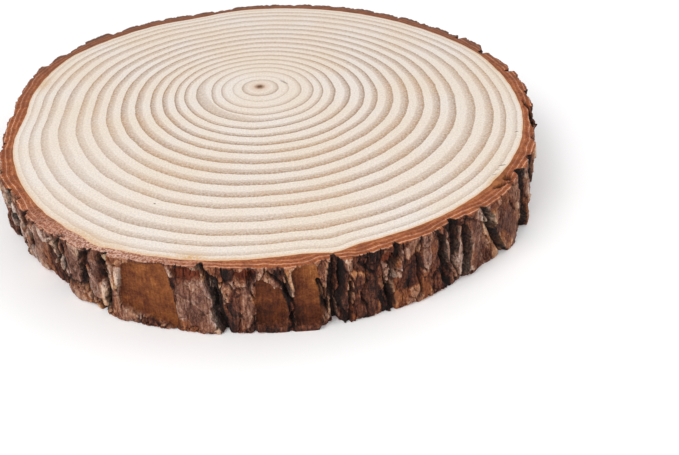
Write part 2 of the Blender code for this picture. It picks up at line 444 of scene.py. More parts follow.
# %% Closed grids
def ring_faces(rows, columns, first, closed):
    """Four-sided faces between rows of vertices that each run round the trunk. Vertex numbers
    start at first, and a closed grid also joins the last row to the first."""
    row = np.arange(rows if closed else rows - 1)[:, None]
    column = np.arange(columns)[None, :]
    below = (row + 1) % rows
    beside = (column + 1) % columns
    corners = (row * columns + column, below * columns + column,
               below * columns + beside, row * columns + beside)
    return np.stack(corners, axis=-1).reshape(-1, 4) + first


def make_piece(name, points, faces, values, material):
    """A mesh object at the origin from points in mm, faces, values on its vertices and a
    material."""
    mesh = bpy.data.meshes.new(name)
    mesh.from_pydata(points * MM, [], faces)
    for value_name, numbers in values.items():
        layer = mesh.attributes.new(value_name, "FLOAT", "POINT")
        layer.data.foreach_set("value", np.ascontiguousarray(numbers, np.float32).ravel())
    mesh.materials.append(material)
    mesh.shade_smooth()
    piece = bpy.data.objects.new(name, mesh)
    bpy.context.scene.collection.objects.link(piece)
    print(name, "has", len(mesh.polygons), "faces and", len(mesh.vertices), "vertices")
    return piece


print("faces of a small closed grid:", len(ring_faces(3, 4, 0, True)))

# %% [markdown]
# ## The material of the sawn face
# Sanded softwood end grain is matt, cream in the spring wood and tan in the summer wood. A
# picture of another slice would have that slice's rings. Here each ring comes from the age
# on the vertices, and noise of five sizes bends the bands, frays them, breaks them into
# flecks and gives the wood its clouds and the mottle of cut fibres.

# %% Sanded end grain
WOOD_VALUES = ("age", "late_share", "late_strength", "ochre", "rim_mm")
# Each noise: size of its features in mm, detail, roughness
WOOD_NOISES = {
    "bend": (9, 2, 0.5),
    "fray": (0.9, 3, 0.6),
    "flecks": (1.0, 4, 0.75),
    "cloud": (30, 2, 0.5),
    "mottle": (0.7, 2, 0.6),
}


def per_mm(size):
    """Texture scale for features of a size in mm, on coordinates in metres."""
    return 1 / (size * MM)


end_grain, tree, shader = new_material("sanded_softwood_end_grain")
place = add(tree, "TexCoord", out="Object")
value = {name: add(tree, "Attribute", out="Fac", attribute_name=name) for name in WOOD_VALUES}
for name, (size, detail, roughness) in WOOD_NOISES.items():
    value[name] = add(tree, "TexNoise", {"Vector": place, "Scale": per_mm(size),
                                         "Detail": detail, "Roughness": roughness})
print("the sawn face reads:", sorted(value))

# %% [markdown]
# ## Bands of summer wood
# The fraction of the age runs from 0 to 1 through each year, and its last part is the
# summer's growth. The band starts softly, grows darker and stops sharply where the next
# spring began. The very last cells make a thin grey-brown line, clearest near the pith. A
# wave texture would be even, while the age keeps the width of every single year.

# %% Bands of summer wood
BEND_YEARS = 0.16     # how much of a year each noise shifts the bands
FRAY_YEARS = 0.09
MEAN_SHIFT = 0.12     # about the mean of both shifts, taken off again

bent = add(tree, "Math", (value["bend"], BEND_YEARS, value["age"]), operation="MULTIPLY_ADD")
frayed = add(tree, "Math", (value["fray"], FRAY_YEARS, bent), operation="MULTIPLY_ADD")
centred = add(tree, "Math", (frayed, MEAN_SHIFT), operation="SUBTRACT")
year = add(tree, "Math", (centred,), operation="FRACT")
start = add(tree, "Math", (1.0, value["late_share"]), operation="SUBTRACT", use_clamp=True)
# a MapRange node takes the value, the range it is in and the range it is turned to
within = add(tree, "MapRange", (year, start, 1.0, 0.0, 1.0))
band = add(tree, "ValToRGB", (within,), stops=(
    (0.0, "#000000"), (1.0, "#000000"), (0.19, "#B0B0B0"), (0.50, "#D4D4D4"),
    (0.84, "#FCFCFC"), (0.97, "#FFFFFF")))
broken = add(tree, "MapRange", (value["flecks"], 0.38, 0.62, 0.45, 1.25))
amount = add(tree, "Math", (band, value["late_strength"]), operation="MULTIPLY")
amount = add(tree, "Math", (amount, broken), operation="MULTIPLY", use_clamp=True)
last_cells = add(tree, "MapRange", (year, 0.84, 0.93, 0.0, 0.62))
young = add(tree, "MapRange", (value["age"], 5.0, 9.5, 1.0, 0.25))
for factor in (young, value["late_strength"]):
    last_cells = add(tree, "Math", (last_cells, factor), operation="MULTIPLY")
print("the bands take", len(tree.nodes), "nodes so far")

# %% [markdown]
# ## Colours of the sawn face
# The bands are laid over the cream as one lays glazes: each layer has a share and a colour.
# The mottle makes all of it a little brighter or duller. Over it come the ochre along part
# of the cambium and the thin tan line where the wood ends.

# %% Colours of the sawn face
cream = add(tree, "ValToRGB", (value["cloud"],), stops=((0.35, "#E6DBD0"), (0.65, "#E4D6C5")))
tan = add(tree, "ValToRGB", (value["cloud"],), stops=((0.38, "#A98D76"), (0.62, "#B5906F")))
colour = cream
for share, over in ((amount, tan), (last_cells, linear("#93765F"))):
    # a Mix node of colours takes its share at 0 and its colours at 6 and 7
    colour = add(tree, "Mix", {0: share, 6: colour, 7: over}, out=2, data_type="RGBA")
mottle = add(tree, "MapRange", (value["mottle"], 0.36, 0.64, 0.86, 1.05))
colour = add(tree, "VectorMath", {0: colour, "Scale": mottle}, operation="SCALE")
fibrous = add(tree, "MapRange", (value["flecks"], 0.40, 0.62, 1.35, 0.35))
ochre = add(tree, "Math", (value["ochre"], fibrous), operation="MULTIPLY", use_clamp=True)
edge = add(tree, "MapRange", (value["rim_mm"], 0.0, 0.9, 0.75, 0.0))
layers = [(ochre, "#C79A5C"), (edge, "#D9B28C")]
print("layers over the bands:", len(layers))

# %% [markdown]
# ## Marks and pith
# This slice has a dark pith, a scratch beside it, a speck and some dashes near the bark. Each
# mark is an oval: its own coordinates make it a unit circle, and the distance from its middle
# says how dark it is. The pith is a small brown star in a peach halo, frayed by the noise.
# Sanding left the fibre ends rough, which a faint bump shows.

# %% Marks and pith
# Marks on the face: x, y in mm, half length, half width in mm, turn in degrees, strength
MARKS = (
    (-44.6, -70.3, 0.45, 0.30, 0, 0.95),
    (101.5, -31.9, 1.10, 0.28, 20, 0.75),
    (89.7, -57.0, 1.60, 0.35, 12, 0.70),
    (87.1, -60.0, 1.00, 0.30, 12, 0.35),
    (85.1, -63.4, 1.30, 0.30, 20, 0.45),
    (7.2, 22.8, 3.00, 0.55, -50, 0.45),
)
MARK_REACH = 4.0       # mm that a mark reaches down, so that the underside has none
PITH_FRAY = 1.6        # mm by which the noise frays the pith


def finish_shader(tree, shader, colour, bump, roughness, shine):
    """Join colour and bump to the shader, and set its roughness and its specular level."""
    tree.links.new(colour, shader.inputs["Base Color"])
    tree.links.new(bump, shader.inputs["Normal"])
    shader.inputs["Roughness"].default_value = roughness
    shader.inputs["Specular IOR Level"].default_value = shine


for x, y, half_length, half_width, turned, depth in MARKS:
    spot = add(tree, "Mapping", {
        "Vector": place, "Location": (x * MM, y * MM, THICKNESS * MM),
        "Rotation": (0, 0, math.radians(turned)),
        "Scale": (half_length * MM, half_width * MM, MARK_REACH * MM)}, vector_type="TEXTURE")
    away = add(tree, "VectorMath", (spot,), out="Value", operation="LENGTH")
    layers.append((add(tree, "MapRange", (away, 0.6, 1.2, depth, 0.0)), "#4A3322"))
heart = add(tree, "Mapping", {"Vector": place, "Location": (PITH[0] * MM, PITH[1] * MM, 0),
                              "Scale": (MM, MM, 1)}, vector_type="TEXTURE")
level = add(tree, "VectorMath", (heart, (1, 1, 0)), operation="MULTIPLY")
away = add(tree, "VectorMath", (level,), out="Value", operation="LENGTH")
ragged = add(tree, "Math", (value["fray"], PITH_FRAY, away), operation="MULTIPLY_ADD")
halo = add(tree, "MapRange", (ragged, 2.8, 6.5, 0.72, 0.0))
star = add(tree, "MapRange", (ragged, 1.5, 3.6, 1.0, 0.0))
layers += [(halo, "#CFAE93"), (star, "#6A452A")]
for share, code in layers:
    colour = add(tree, "Mix", {0: share, 6: colour, 7: linear(code)}, out=2, data_type="RGBA")
bump = add(tree, "Bump", {"Height": value["flecks"], "Strength": 0.25, "Distance": 0.1 * MM})
finish_shader(tree, shader, colour, bump, 0.66, 0.28)
print(end_grain.name, "has", len(tree.nodes), "nodes")

# %% [markdown]
# ## The wood
# The disc's rows run from the pith out over the top, down the hidden wall that the bark
# covers, and back to the pith underneath. Each year gets a few rows, so that a year's end is
# always a row. Sanding wears the soft spring wood more, so the summer bands stand a few
# hundredths of a millimetre proud.

# %% The edge of the wood
WOOD_COLUMNS = 480
TOP_STEPS = 6        # rows to a year on the top
UNDER_STEPS = 3
RING_PROUD = 0.05    # mm by which a summer band stands over the spring wood
EDGE_WAVE = 0.35     # mm in and out of the line between wood and bark
TORN = (-123, 14)    # where the saw tore the edge: angle and half width in degrees
TORN_WAVE = 2.2      # how much more it waves there
WAVE_ZONE = 8        # mm inside the edge over which its wave sets in
SHIFT_ZONE = 20      # mm over which its shifts do
BAND_RISE = 0.2      # share of a year over which a band rises
FLAT_HEART = 12      # mm round the pith where the wood is flat
# Where that line lies further out than the mean: angle, half width in degrees, mm
EDGE_SHIFTS = (
    (-122, 9, 2.6),
    (-105, 13, 2.4),
    (-79.5, 3.5, 2.0),
)
# The cambium's ochre: angle, half width in degrees, width in mm, strength
OCHRE = (
    (-107, 18, 1.5, 0.70),
    (-106, 3.5, 3.4, 0.85),
    (-127, 10, 3.4, 0.60),
    (-150, 14, 2.0, 0.42),
    (-38.5, 3.4, 1.6, 0.80),
    (-60, 20, 0.8, 0.40),
    (25, 18, 1.3, 0.55),
    (162.5, 3.5, 4.5, 0.6),
    (150, 14, 1.2, 0.4),
)


def year_rows(steps):
    """Mean radii in mm of a face's rows: each year cut into equal steps, out to the edge."""
    ends = [0.0] + [end for end in YEAR_ENDS if end < WOOD_RADIUS] + [WOOD_RADIUS]
    rows = [np.linspace(a, b, steps, endpoint=False) for a, b in zip(ends, ends[1:])]
    return np.append(np.concatenate(rows), WOOD_RADIUS)[1:]


def edge_wave(angle):
    """In and out of the wood's edge in mm: a fractal wave with features about 5 mm long,
    higher where the saw tore."""
    height = EDGE_WAVE * (1 + TORN_WAVE * bell(angle_between(angle, TORN[0]), TORN[1]))
    return height * trunk_noise(angle, np.zeros(np.shape(angle)), 5, 5, 41, 3)


def edge_shift(angle):
    """How far out in mm the wood's edge lies from the mean line: the sum of the bells."""
    return add_bells(0, angle, EDGE_SHIFTS)


print("rows of a face from pith to edge:", len(year_rows(TOP_STEPS)))

# %% [markdown]
# ## One sawn face
# Both faces are worked out by one function: the plan of the rings, the wave of the edge, the
# bands that stand proud, and the values for the material. The top has more rows to a year
# than the underside, which lies on the table.

# %% One sawn face
def face_rows(steps, height):
    """One sawn face: plan points of its rows, and the values that the material reads."""
    radius, angle = np.meshgrid(year_rows(steps), wood_angles, indexing="ij")
    x, y = ring_point(radius, angle)
    direction = np.degrees(np.arctan2(y, x))
    near, nearer = (smooth_step((radius - (WOOD_RADIUS - zone)) / zone)
                    for zone in (SHIFT_ZONE, WAVE_ZONE))
    stretch = 1 + edge_wave(direction) / WOOD_RADIUS * nearer
    stretch = stretch + edge_shift(direction) / WOOD_RADIUS * near
    age = year_of(radius)
    share, strength = late_wood(age, angle)
    in_year = np.where(age % 1 == 0, 1.0, age % 1)
    band = smooth_step((in_year - 1 + share) / BAND_RISE)
    z = height - np.sign(height) * RING_PROUD * (1 - band * (radius > FLAT_HEART))
    rim = outline(direction) - np.hypot(x, y)
    ochre = np.zeros(radius.shape)
    for centre, half_width, width, amount in OCHRE:
        here = amount * bell(angle_between(direction, centre), half_width) * bell(rim, width)
        ochre = np.maximum(ochre, here)
    values = {"age": age, "late_share": share, "late_strength": strength, "ochre": ochre,
              "rim_mm": rim}
    return np.stack([x * stretch, y * stretch, z], axis=-1), values


wood_angles = np.linspace(-180, 180, WOOD_COLUMNS, endpoint=False)
top_points, top_values = face_rows(TOP_STEPS, THICKNESS)
under_points, under_values = face_rows(UNDER_STEPS, 0.0)
under_points[..., 2] = 0.0
print("top face:", top_points.shape, "rows, columns and coordinates")

# %% [markdown]
# ## Joining the two faces
# The rows of the top run outwards and those of the underside inwards, and the hidden wall
# joins them. A fan of triangles closes each face at the pith. So the wood is one closed
# shell, as the solid is.

# %% Joining the two faces
rows = np.concatenate([top_points, under_points[::-1]])
poles = np.array([[PITH[0], PITH[1], THICKNESS - RING_PROUD], [PITH[0], PITH[1], 0.0]])
wood_points = np.concatenate([poles, rows.reshape(-1, 3)])
wood_values = {}
for name in top_values:
    loops = np.concatenate([top_values[name], under_values[name][::-1]]).ravel()
    pole_value = 0.0 if name in ("age", "ochre") else loops[0]
    wood_values[name] = np.concatenate([[pole_value, pole_value], loops])
grid = ring_faces(len(rows), WOOD_COLUMNS, 2, closed=False)
first = np.arange(WOOD_COLUMNS) + 2
last = first + (len(rows) - 1) * WOOD_COLUMNS
top_fan = np.stack([np.zeros_like(first), first, np.roll(first, -1)], axis=1)
under_fan = np.stack([np.ones_like(last), np.roll(last, -1), last], axis=1)
wood_faces = grid.tolist() + top_fan.tolist() + under_fan.tolist()
wood = make_piece("wood", wood_points, wood_faces, wood_values, end_grain)
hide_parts("wood_slice")
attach(wood, "root")

# %% [markdown]
# ## The bark's plates and furrows
# A conifer's bark cracks as the trunk swells, into upright plates with furrows between them.
# The furrows that the photograph shows are listed one by one, from above against the clock,
# and a seeded rule sets the rest. These are the solid's own numbers, so the fine bark lies on
# it.

# %% Plates and furrows
BARK_SEED = 11
# Angle at the top and at the foot, half width and depth in mm, and how far the plate that
# follows stands out from the mean bark in mm
FURROWS = (
    (-173.5, -175.0, 1.8, 3.4, -1.6), (-165.5, -167.0, 2.2, 4.2, -1.2),
    (-158.0, -160.5, 2.0, 3.6, 0.2), (-151.5, -155.0, 2.6, 5.0, -1.4),
    (-146.5, -149.0, 1.8, 3.4, -0.2), (-141.7, -144.0, 1.9, 3.8, 0.5),
    (-131.8, -133.8, 2.6, 5.0, 0.4), (-125.6, -126.8, 1.6, 2.6, -0.1),
    (-120.8, -122.4, 2.3, 4.4, 0.2), (-103.6, -99.6, 2.6, 5.2, 0.0),
    (-94.8, -94.5, 1.4, 1.8, 0.2), (-89.2, -87.8, 1.6, 3.0, 0.6),
    (-82.6, -82.8, 1.7, 3.4, -1.5), (-79.6, -78.9, 2.3, 4.6, 0.4),
    (-74.2, -75.4, 1.5, 2.0, 0.1), (-68.6, -70.6, 1.7, 3.4, -0.2),
    (-63.4, -64.2, 1.6, 2.4, -0.4), (-59.4, -56.6, 2.7, 5.0, -0.8),
    (-55.2, -55.0, 1.7, 3.6, -0.6), (-52.0, -52.6, 1.8, 3.4, -0.1),
    (-48.6, -41.2, 2.0, 4.2, 1.2), (-33.2, -32.2, 2.8, 5.4, -0.3),
    (-27.0, -25.6, 2.3, 4.4, -0.4), (-20.0, -21.5, 2.2, 4.6, -1.7),
    (-13.0, -14.5, 1.9, 3.6, -1.8), (-5.5, -4.0, 1.7, 3.0, -0.6),
    (1.5, 0.5, 1.6, 2.4, 0.8), (9.3, 10.5, 1.9, 4.4, 0.8),
    (16.5, 15.0, 1.5, 2.0, -0.6), (25.6, 26.4, 2.4, 4.6, 1.1),
    (36.9, 38.0, 2.2, 4.2, 0.6), (45.5, 44.0, 1.8, 3.2, 0.4),
    (86.5, 88.0, 2.0, 3.2, -0.5), (98.8, 97.0, 2.4, 4.8, -2.2),
    (104.5, 106.0, 1.8, 2.6, -0.8), (132.2, 131.0, 2.0, 3.4, 1.8),
    (139.2, 140.5, 2.0, 3.6, -0.6), (147.4, 146.2, 2.1, 3.8, 0.2),
    (152.6, 154.0, 1.9, 3.4, 1.4), (159.8, 158.4, 2.0, 4.0, -0.2),
    (170.4, 171.6, 2.0, 3.6, -0.4), (179.0, 178.0, 1.8, 3.0, -0.3),
)
QUIET_SIDES = ((45.5, 86.5), (104.5, 132.2))
QUIET_SPACING = 6.6


def quiet_furrows(rng):
    """Furrows of the sides that the photograph hides, spaced by rule with a seeded draw."""
    furrows = []
    for start, end in QUIET_SIDES:
        count = round((end - start) / QUIET_SPACING) - 1
        step = (end - start) / (count + 1)
        for number in range(1, count + 1):
            top = start + step * (number + rng.uniform(-0.22, 0.22))
            foot = top + rng.uniform(-1.8, 1.8)
            half_width = rng.uniform(1.6, 2.5)
            depth = rng.uniform(2.4, 4.8)
            furrows.append((top, foot, half_width, depth, rng.uniform(-0.7, 0.9)))
    return furrows


rng = random.Random(BARK_SEED)
furrow_table = np.array(sorted(list(FURROWS) + quiet_furrows(rng)))
break_table = np.array([(rng.uniform(6, 21), rng.uniform(-1.0, 1.0)) for _ in furrow_table])
print("furrows:", len(furrow_table))

# %% [markdown]
# ## The relief of plates and furrows
# Every plate lies between two furrows and stands out by its own amount, with a lower scale
# that ends at a jagged height. On a dry slice the old cracks have closed up, so each furrow is
# a shallow slope with a narrow crack in its middle, which is painted near black as shade.
# Carving it with a brush would look the same, but these lines can be worked out at any fineness
# and agree with the solid.

# %% The relief of plates and furrows
PLATE_TILT = 0.7
JAG = 1.6
BREAK_SOFTNESS = 0.5
SLOPE_WIDTH = 0.95     # half width of a furrow's slope, as a share of the solid's furrow
CRACK = 0.33           # half width of its crack, as a share of the solid's furrow
CRACK_WALL = 0.45      # mm over which the crack's wall falls
SLOPE_SHARE = 0.12     # how much of a furrow's depth is slope, and how much is crack
CRACK_SHARE = 0.60
CRACK_DEEPEST = 1.9    # mm
FOOT_REACH = 0.25      # share of a furrow's depth that reaches the foot, and the rim
RIM_REACH = 0.25
FOOT_ZONE, RIM_ZONE = 0.3, 0.2    # shares of the height over which they ease off
# from this depth of a furrow on, its crack is painted fully black as shade
CRACK_SHADE_DEPTH = 3.4      # mm of a furrow's depth from which its crack is quite black


def furrow_lines(up):
    """Angles of all the furrows' bottom lines at heights from 0 to 1: straight from foot to
    top, plus two small sine waves."""
    top, foot = (furrow_table[:, column][:, None, None] for column in (0, 1))
    wander = 0.5 * np.sin(7 * up + top) + 0.25 * np.sin(15 * up + 2.3 * top)
    return foot + (top - foot) * up + wander


def plates(angle, up):
    """How far the plate stands out in mm, and its number: flat but for its last edges (one
    less the sixteenth power of the place across it), with a lower scale that ends at a jagged
    height."""
    lines = furrow_lines(up)
    number = np.argmin((angle - lines) % 360, axis=0)
    start = np.take_along_axis(lines, number[None], axis=0)[0]
    end = np.take_along_axis(lines, (number[None] + 1) % len(lines), axis=0)[0]
    across = ((angle - start) % 360) / ((end - start) % 360)
    height = break_table[number, 0] + JAG * np.sin(0.9 * angle + number)
    lower = 1 - smooth_step((up * THICKNESS - height) / BREAK_SOFTNESS + 0.5)
    crown = 1 - (2 * across - 1) ** 16
    level = furrow_table[number, 4] + lower * break_table[number, 1]
    return crown * (level + PLATE_TILT * (0.5 - across)), number


def furrow_depth(angle, up, ragged):
    """Depth of the furrows in mm, and the painted shade of their cracks from 0 to 1, full where
    a
    furrow is deep: a shallow slope and a narrow crack, at a distance that a ragged noise
    shifts, easing off towards the foot and the rim."""
    depth = np.zeros(angle.shape)
    recess_shade = np.zeros(angle.shape)
    for line, (_, _, half_width, deep, _) in zip(furrow_lines(up), furrow_table):
        away = np.abs(np.radians(angle_between(angle, line)) * WOOD_RADIUS + ragged)
        slope = smooth_step(1 - away / (SLOPE_WIDTH * half_width))
        crack = smooth_step((CRACK * half_width - away) / CRACK_WALL + 0.5)
        down = SLOPE_SHARE * deep * slope + min(CRACK_SHARE * deep, CRACK_DEEPEST) * crack
        depth = np.maximum(depth, down)
        # painted shade in the crack, full where the furrow is deep
        recess_shade = np.maximum(recess_shade, crack * np.clip(deep / CRACK_SHADE_DEPTH, 0, 1))
    reach = FOOT_REACH + (1 - FOOT_REACH) * smooth_step(up / FOOT_ZONE)
    reach = reach * (1 - (1 - RIM_REACH) * smooth_step((up - (1 - RIM_ZONE)) / RIM_ZONE))
    return depth * reach, recess_shade


def ridges(angle, up):
    """Long shallow ridges in mm: two sine waves round the trunk, bent by a third."""
    bend = np.sin(4.5 * up + np.radians(8 * angle))
    coarse = np.sin(np.radians(47 * angle) + 1.5 * bend)
    fine = np.sin(np.radians(71 * angle) - 2.1 * bend + 6 * up)
    return 0.24 * coarse + 0.16 * fine


print("the ridges stand out by", float(ridges(0.0, 0.5).round(2)), "mm at the right")

# %% [markdown]
# ## Bare patches
# Here and there a whole scale fell off and left smooth red-brown inner bark. Each patch is a
# simple shape on the unrolled bark, placed as the photograph shows it, and chips of random
# size make its border ragged.

# %% Bare patches
# Left edge's angle at the top and foot, right edge's, highest z in mm at the left and right,
# lowest z, bark left in mm, tone at the left foot and at the right top (rust 0, honey 1)
BARE_PATCHES = (
    (-117.8, -120.2, -109.8, -108.2, 26.0, 27.8, 7.5, 0.6, 5.9, 0.28, 0.66),
    (-94.1, -94.8, -88.4, -89.2, 24.4, 17.0, 3.4, 3.4, 5.5, 0.28, 0.30),
    (-88.0, -87.6, -83.4, -82.4, 27.2, 27.6, 2.8, 3.2, 6.1, -0.02, 0.80),
    (58.0, 57.0, 66.0, 67.0, 25.0, 25.5, 6.5, 6.0, 4.6, 0.40, 0.60),
    (117.0, 118.0, 124.0, 123.0, 20.0, 21.5, 1.5, 2.5, 4.2, 0.20, 0.40),
    (-164.0, -165.0, -159.0, -160.0, 22.0, 21.0, 4.0, 5.0, 4.4, 0.40, 0.55),
)
CORNER = 2.5               # rounding of a patch's corners in mm


def mm_round(angle, centre):
    """Distance in mm round the trunk from an angle to a centre, positive to the right."""
    return np.radians(angle_between(angle, centre)) * WOOD_RADIUS


def patch_share(angle, z, corners, ragged):
    """1 inside a patch with four slanting edges and 0 outside: the distance in mm to the
    nearest edge, less near a rounded corner, plus ragged noise, eased over a narrow border.
    Also the places across and up it, from 0 to 1."""
    left_top, left_foot, right_top, right_foot, high_l, high_r, low_l, low_r = corners
    centre = (left_top + right_foot) / 2
    up = np.clip((z - min(low_l, low_r)) / (max(high_l, high_r) - min(low_l, low_r)), 0, 1)
    left = mm_round(left_foot + (left_top - left_foot) * up, centre)
    right = mm_round(right_foot + (right_top - right_foot) * up, centre)
    place = mm_round(angle, centre)
    across = np.clip((place - left) / (right - left), 0, 1)
    sideways = np.minimum(place - left, right - place)
    upward = np.minimum(z - low_l - (low_r - low_l) * across,
                        high_l + (high_r - high_l) * across - z)
    corner = np.hypot(np.maximum(CORNER - sideways, 0), np.maximum(CORNER - upward, 0))
    return smooth_step((CORNER - corner + ragged) / 0.4 + 0.5), across, up


print("bare patches:", len(BARE_PATCHES))

# %% [markdown]
# ## Valleys and nicks
# At the right two valleys end at an upright step, where a plate lifted off its neighbour, and
# the step's wall is painted black as shade. Under the sawn rim small pieces broke away and left
# dark hollows. A height that runs in straight lines from lip to bottom to lip gives the step,
# an oval the nick.

# %% Valleys and nicks
# Valleys whose far wall is an upright slot, painted black as shade: angle at the top and foot,
# then in mm how far it falls and over what, how far its wall rises and over what, and its
# lowest z
VALLEYS = (
    (-32.2, -31.4, 2.2, 12.0, 3.4, 2.2, -1),
    (-26.6, -26.0, 0.8, 4.0, 1.8, 1.6, 14),
)
# Centre and half width in degrees, lowest and highest z in mm, depth in mm
NICKS = (
    (-106.4, 2.3, 21.6, 27.4, 1.8),
    (-95.8, 2.0, 21.6, 27.0, 1.8),
    (-70.2, 1.2, 20.8, 26.4, 1.3),
    (72.0, 2.4, 18.0, 25.4, 2.0),
    (155.5, 2.0, 17.0, 25.2, 1.8),
)


def valley(angle, z, sizes):
    """Height in mm of a valley with a steep far wall, and the painted shade on that wall, 1
    there:
    straight lines between its near lip, bottom and far lip, and back to nothing behind it."""
    top, foot, fall, near, rise, far, lowest = sizes
    place = mm_round(angle, foot + (top - foot) * z / THICKNESS)
    here = smooth_step((z - lowest) / 1.5)
    height = np.interp(place, (-near, 0, far, far + 3.5), (0, -fall, rise - fall, 0))
    wall_shade = smooth_step((place + 0.4) / 0.4) * smooth_step((far - 0.1 - place) / 0.3)
    return here * height, here * wall_shade


def nick_share(angle, z, nick, ragged):
    """1 in a nick and 0 outside: the square root of the squares across and up, in shares of
    its half sizes, plus ragged noise, eased over a narrow border."""
    centre, half_width, low, high = nick
    across = angle_between(angle, centre) / half_width
    size = np.hypot(across, (z - (low + high) / 2) / ((high - low) / 2))
    return smooth_step((1.1 - size + 0.45 * ragged) / 0.25)


print("valleys:", len(VALLEYS), "nicks:", len(NICKS))

# %% [markdown]
# ## Slits
# Between the scales run short slits, cut into the bark and painted black as deep shadow. Each
# is a line through two or three points, and its distance says where the bark is cut. A noise
# texture would scatter them, while these stand where the photograph shows them.

# %% Slits
# Half width and depth in mm, then the points that the slit runs through: angle, z in mm
SLITS = (
    (1.1, 2.4, (-159.2, 26), (-157.6, 5)),
    (0.8, 1.6, (-150.1, 23.5), (-149.0, 19)),
    (1.2, 2.8, (-154.6, 18), (-152.5, 10), (-149.6, 0)),
    (0.9, 2.4, (-142.6, 27), (-145.1, 17.9)),
    (0.9, 2.0, (-134.6, 20.2), (-133.8, 2.5)),
    (0.8, 1.8, (-130.7, 24.4), (-132.3, 6.9)),
    (0.7, 1.7, (-126.2, 19.9), (-127.3, 10.3)),
    (0.9, 2.0, (-126.3, 26), (-124.9, 19.1)),
    (0.5, 1.5, (-132.5, 7), (-126.9, 9.6)),
    (1.3, 2.8, (-122.3, 24.6), (-121.4, 21.5)),
    (1.1, 2.6, (-122.0, 17.5), (-121.8, 14)),
    (0.9, 2.0, (-124.2, 4.6), (-123.1, 0)),
    (0.4, 1.2, (-121.8, 8), (-121.5, 5.1)),
    (1.0, 2.4, (-104.0, 27.5), (-101.2, 21.7), (-99.9, 0)),
    (0.5, 1.6, (-92.0, 25.9), (-89.4, 20.2)),
    (0.6, 1.8, (-89.3, 19.4), (-87.9, 1)),
    (0.4, 1.0, (-83.2, 19.9), (-82.5, 4.3)),
    (0.9, 2.6, (-80.3, 27.5), (-80.9, 14.2), (-80.3, 0)),
    (0.4, 1.2, (-80.8, 26), (-81.6, 15.3), (-82.2, 5)),
    (0.6, 1.7, (-77.7, 18.1), (-77.9, 0)),
    (1.0, 2.2, (-68.6, 27.6), (-68.3, 23.4)),
    (0.6, 1.4, (-71.0, 18.8), (-69.6, 21.2)),
    (0.6, 1.8, (-71.3, 15.8), (-69.3, 0)),
    (0.6, 1.6, (-75.9, 25), (-73.1, 19.4)),
    (0.4, 1.0, (-66.1, 11.4), (-66.1, 8.5)),
    (0.9, 2.2, (-58.5, 24), (-58.7, 16.6), (-56.2, 7)),
    (0.9, 2.2, (-55.6, 27.5), (-55.4, 12.7)),
    (0.7, 1.8, (-53.0, 23.4), (-52.1, 10.5)),
    (0.8, 2.0, (-52.2, 12.9), (-52.8, 2)),
    (0.7, 0.6, (-47.6, 27.8), (-46.9, 19.3), (-41.4, 0)),
    (1.7, 4.4, (23.6, 28), (24.6, 0)),
    (1.5, 4.2, (33.2, 28), (34.0, 0)),
    (1.3, 3.6, (12.6, 28), (12.0, 0)),
)


def slit_share(angle, z, half_width, points, ragged):
    """1 in a slit and 0 outside: its half width less the distance in mm to the line through
    its points, plus ragged noise, eased over a narrow border."""
    nearest = np.full(angle.shape, 99.0)
    for (start, start_z), (end, end_z) in zip(points, points[1:]):
        run = math.radians(end - start) * WOOD_RADIUS
        rise = end_z - start_z
        place = mm_round(angle, start)
        along = (place * run + (z - start_z) * rise) / (run ** 2 + rise ** 2)
        along = np.clip(along, 0, 1)
        away = np.hypot(place - along * run, z - start_z - along * rise)
        nearest = np.minimum(nearest, away)
    return smooth_step((half_width - nearest + ragged) / 0.5 + 0.5)


print("slits:", len(SLITS))

# %% [markdown]
# ## Scales that the photograph shows
# The front of the bark has its own face: cream and grey scales at the left, a smooth
# purple-brown plate, streaky ones beside the big bare patch, orange stains at the right. A
# random field would put them elsewhere, so the scales that catch the eye are listed. Each is
# a leaning oval with a ragged border that lies a little higher or lower than the bark round it.

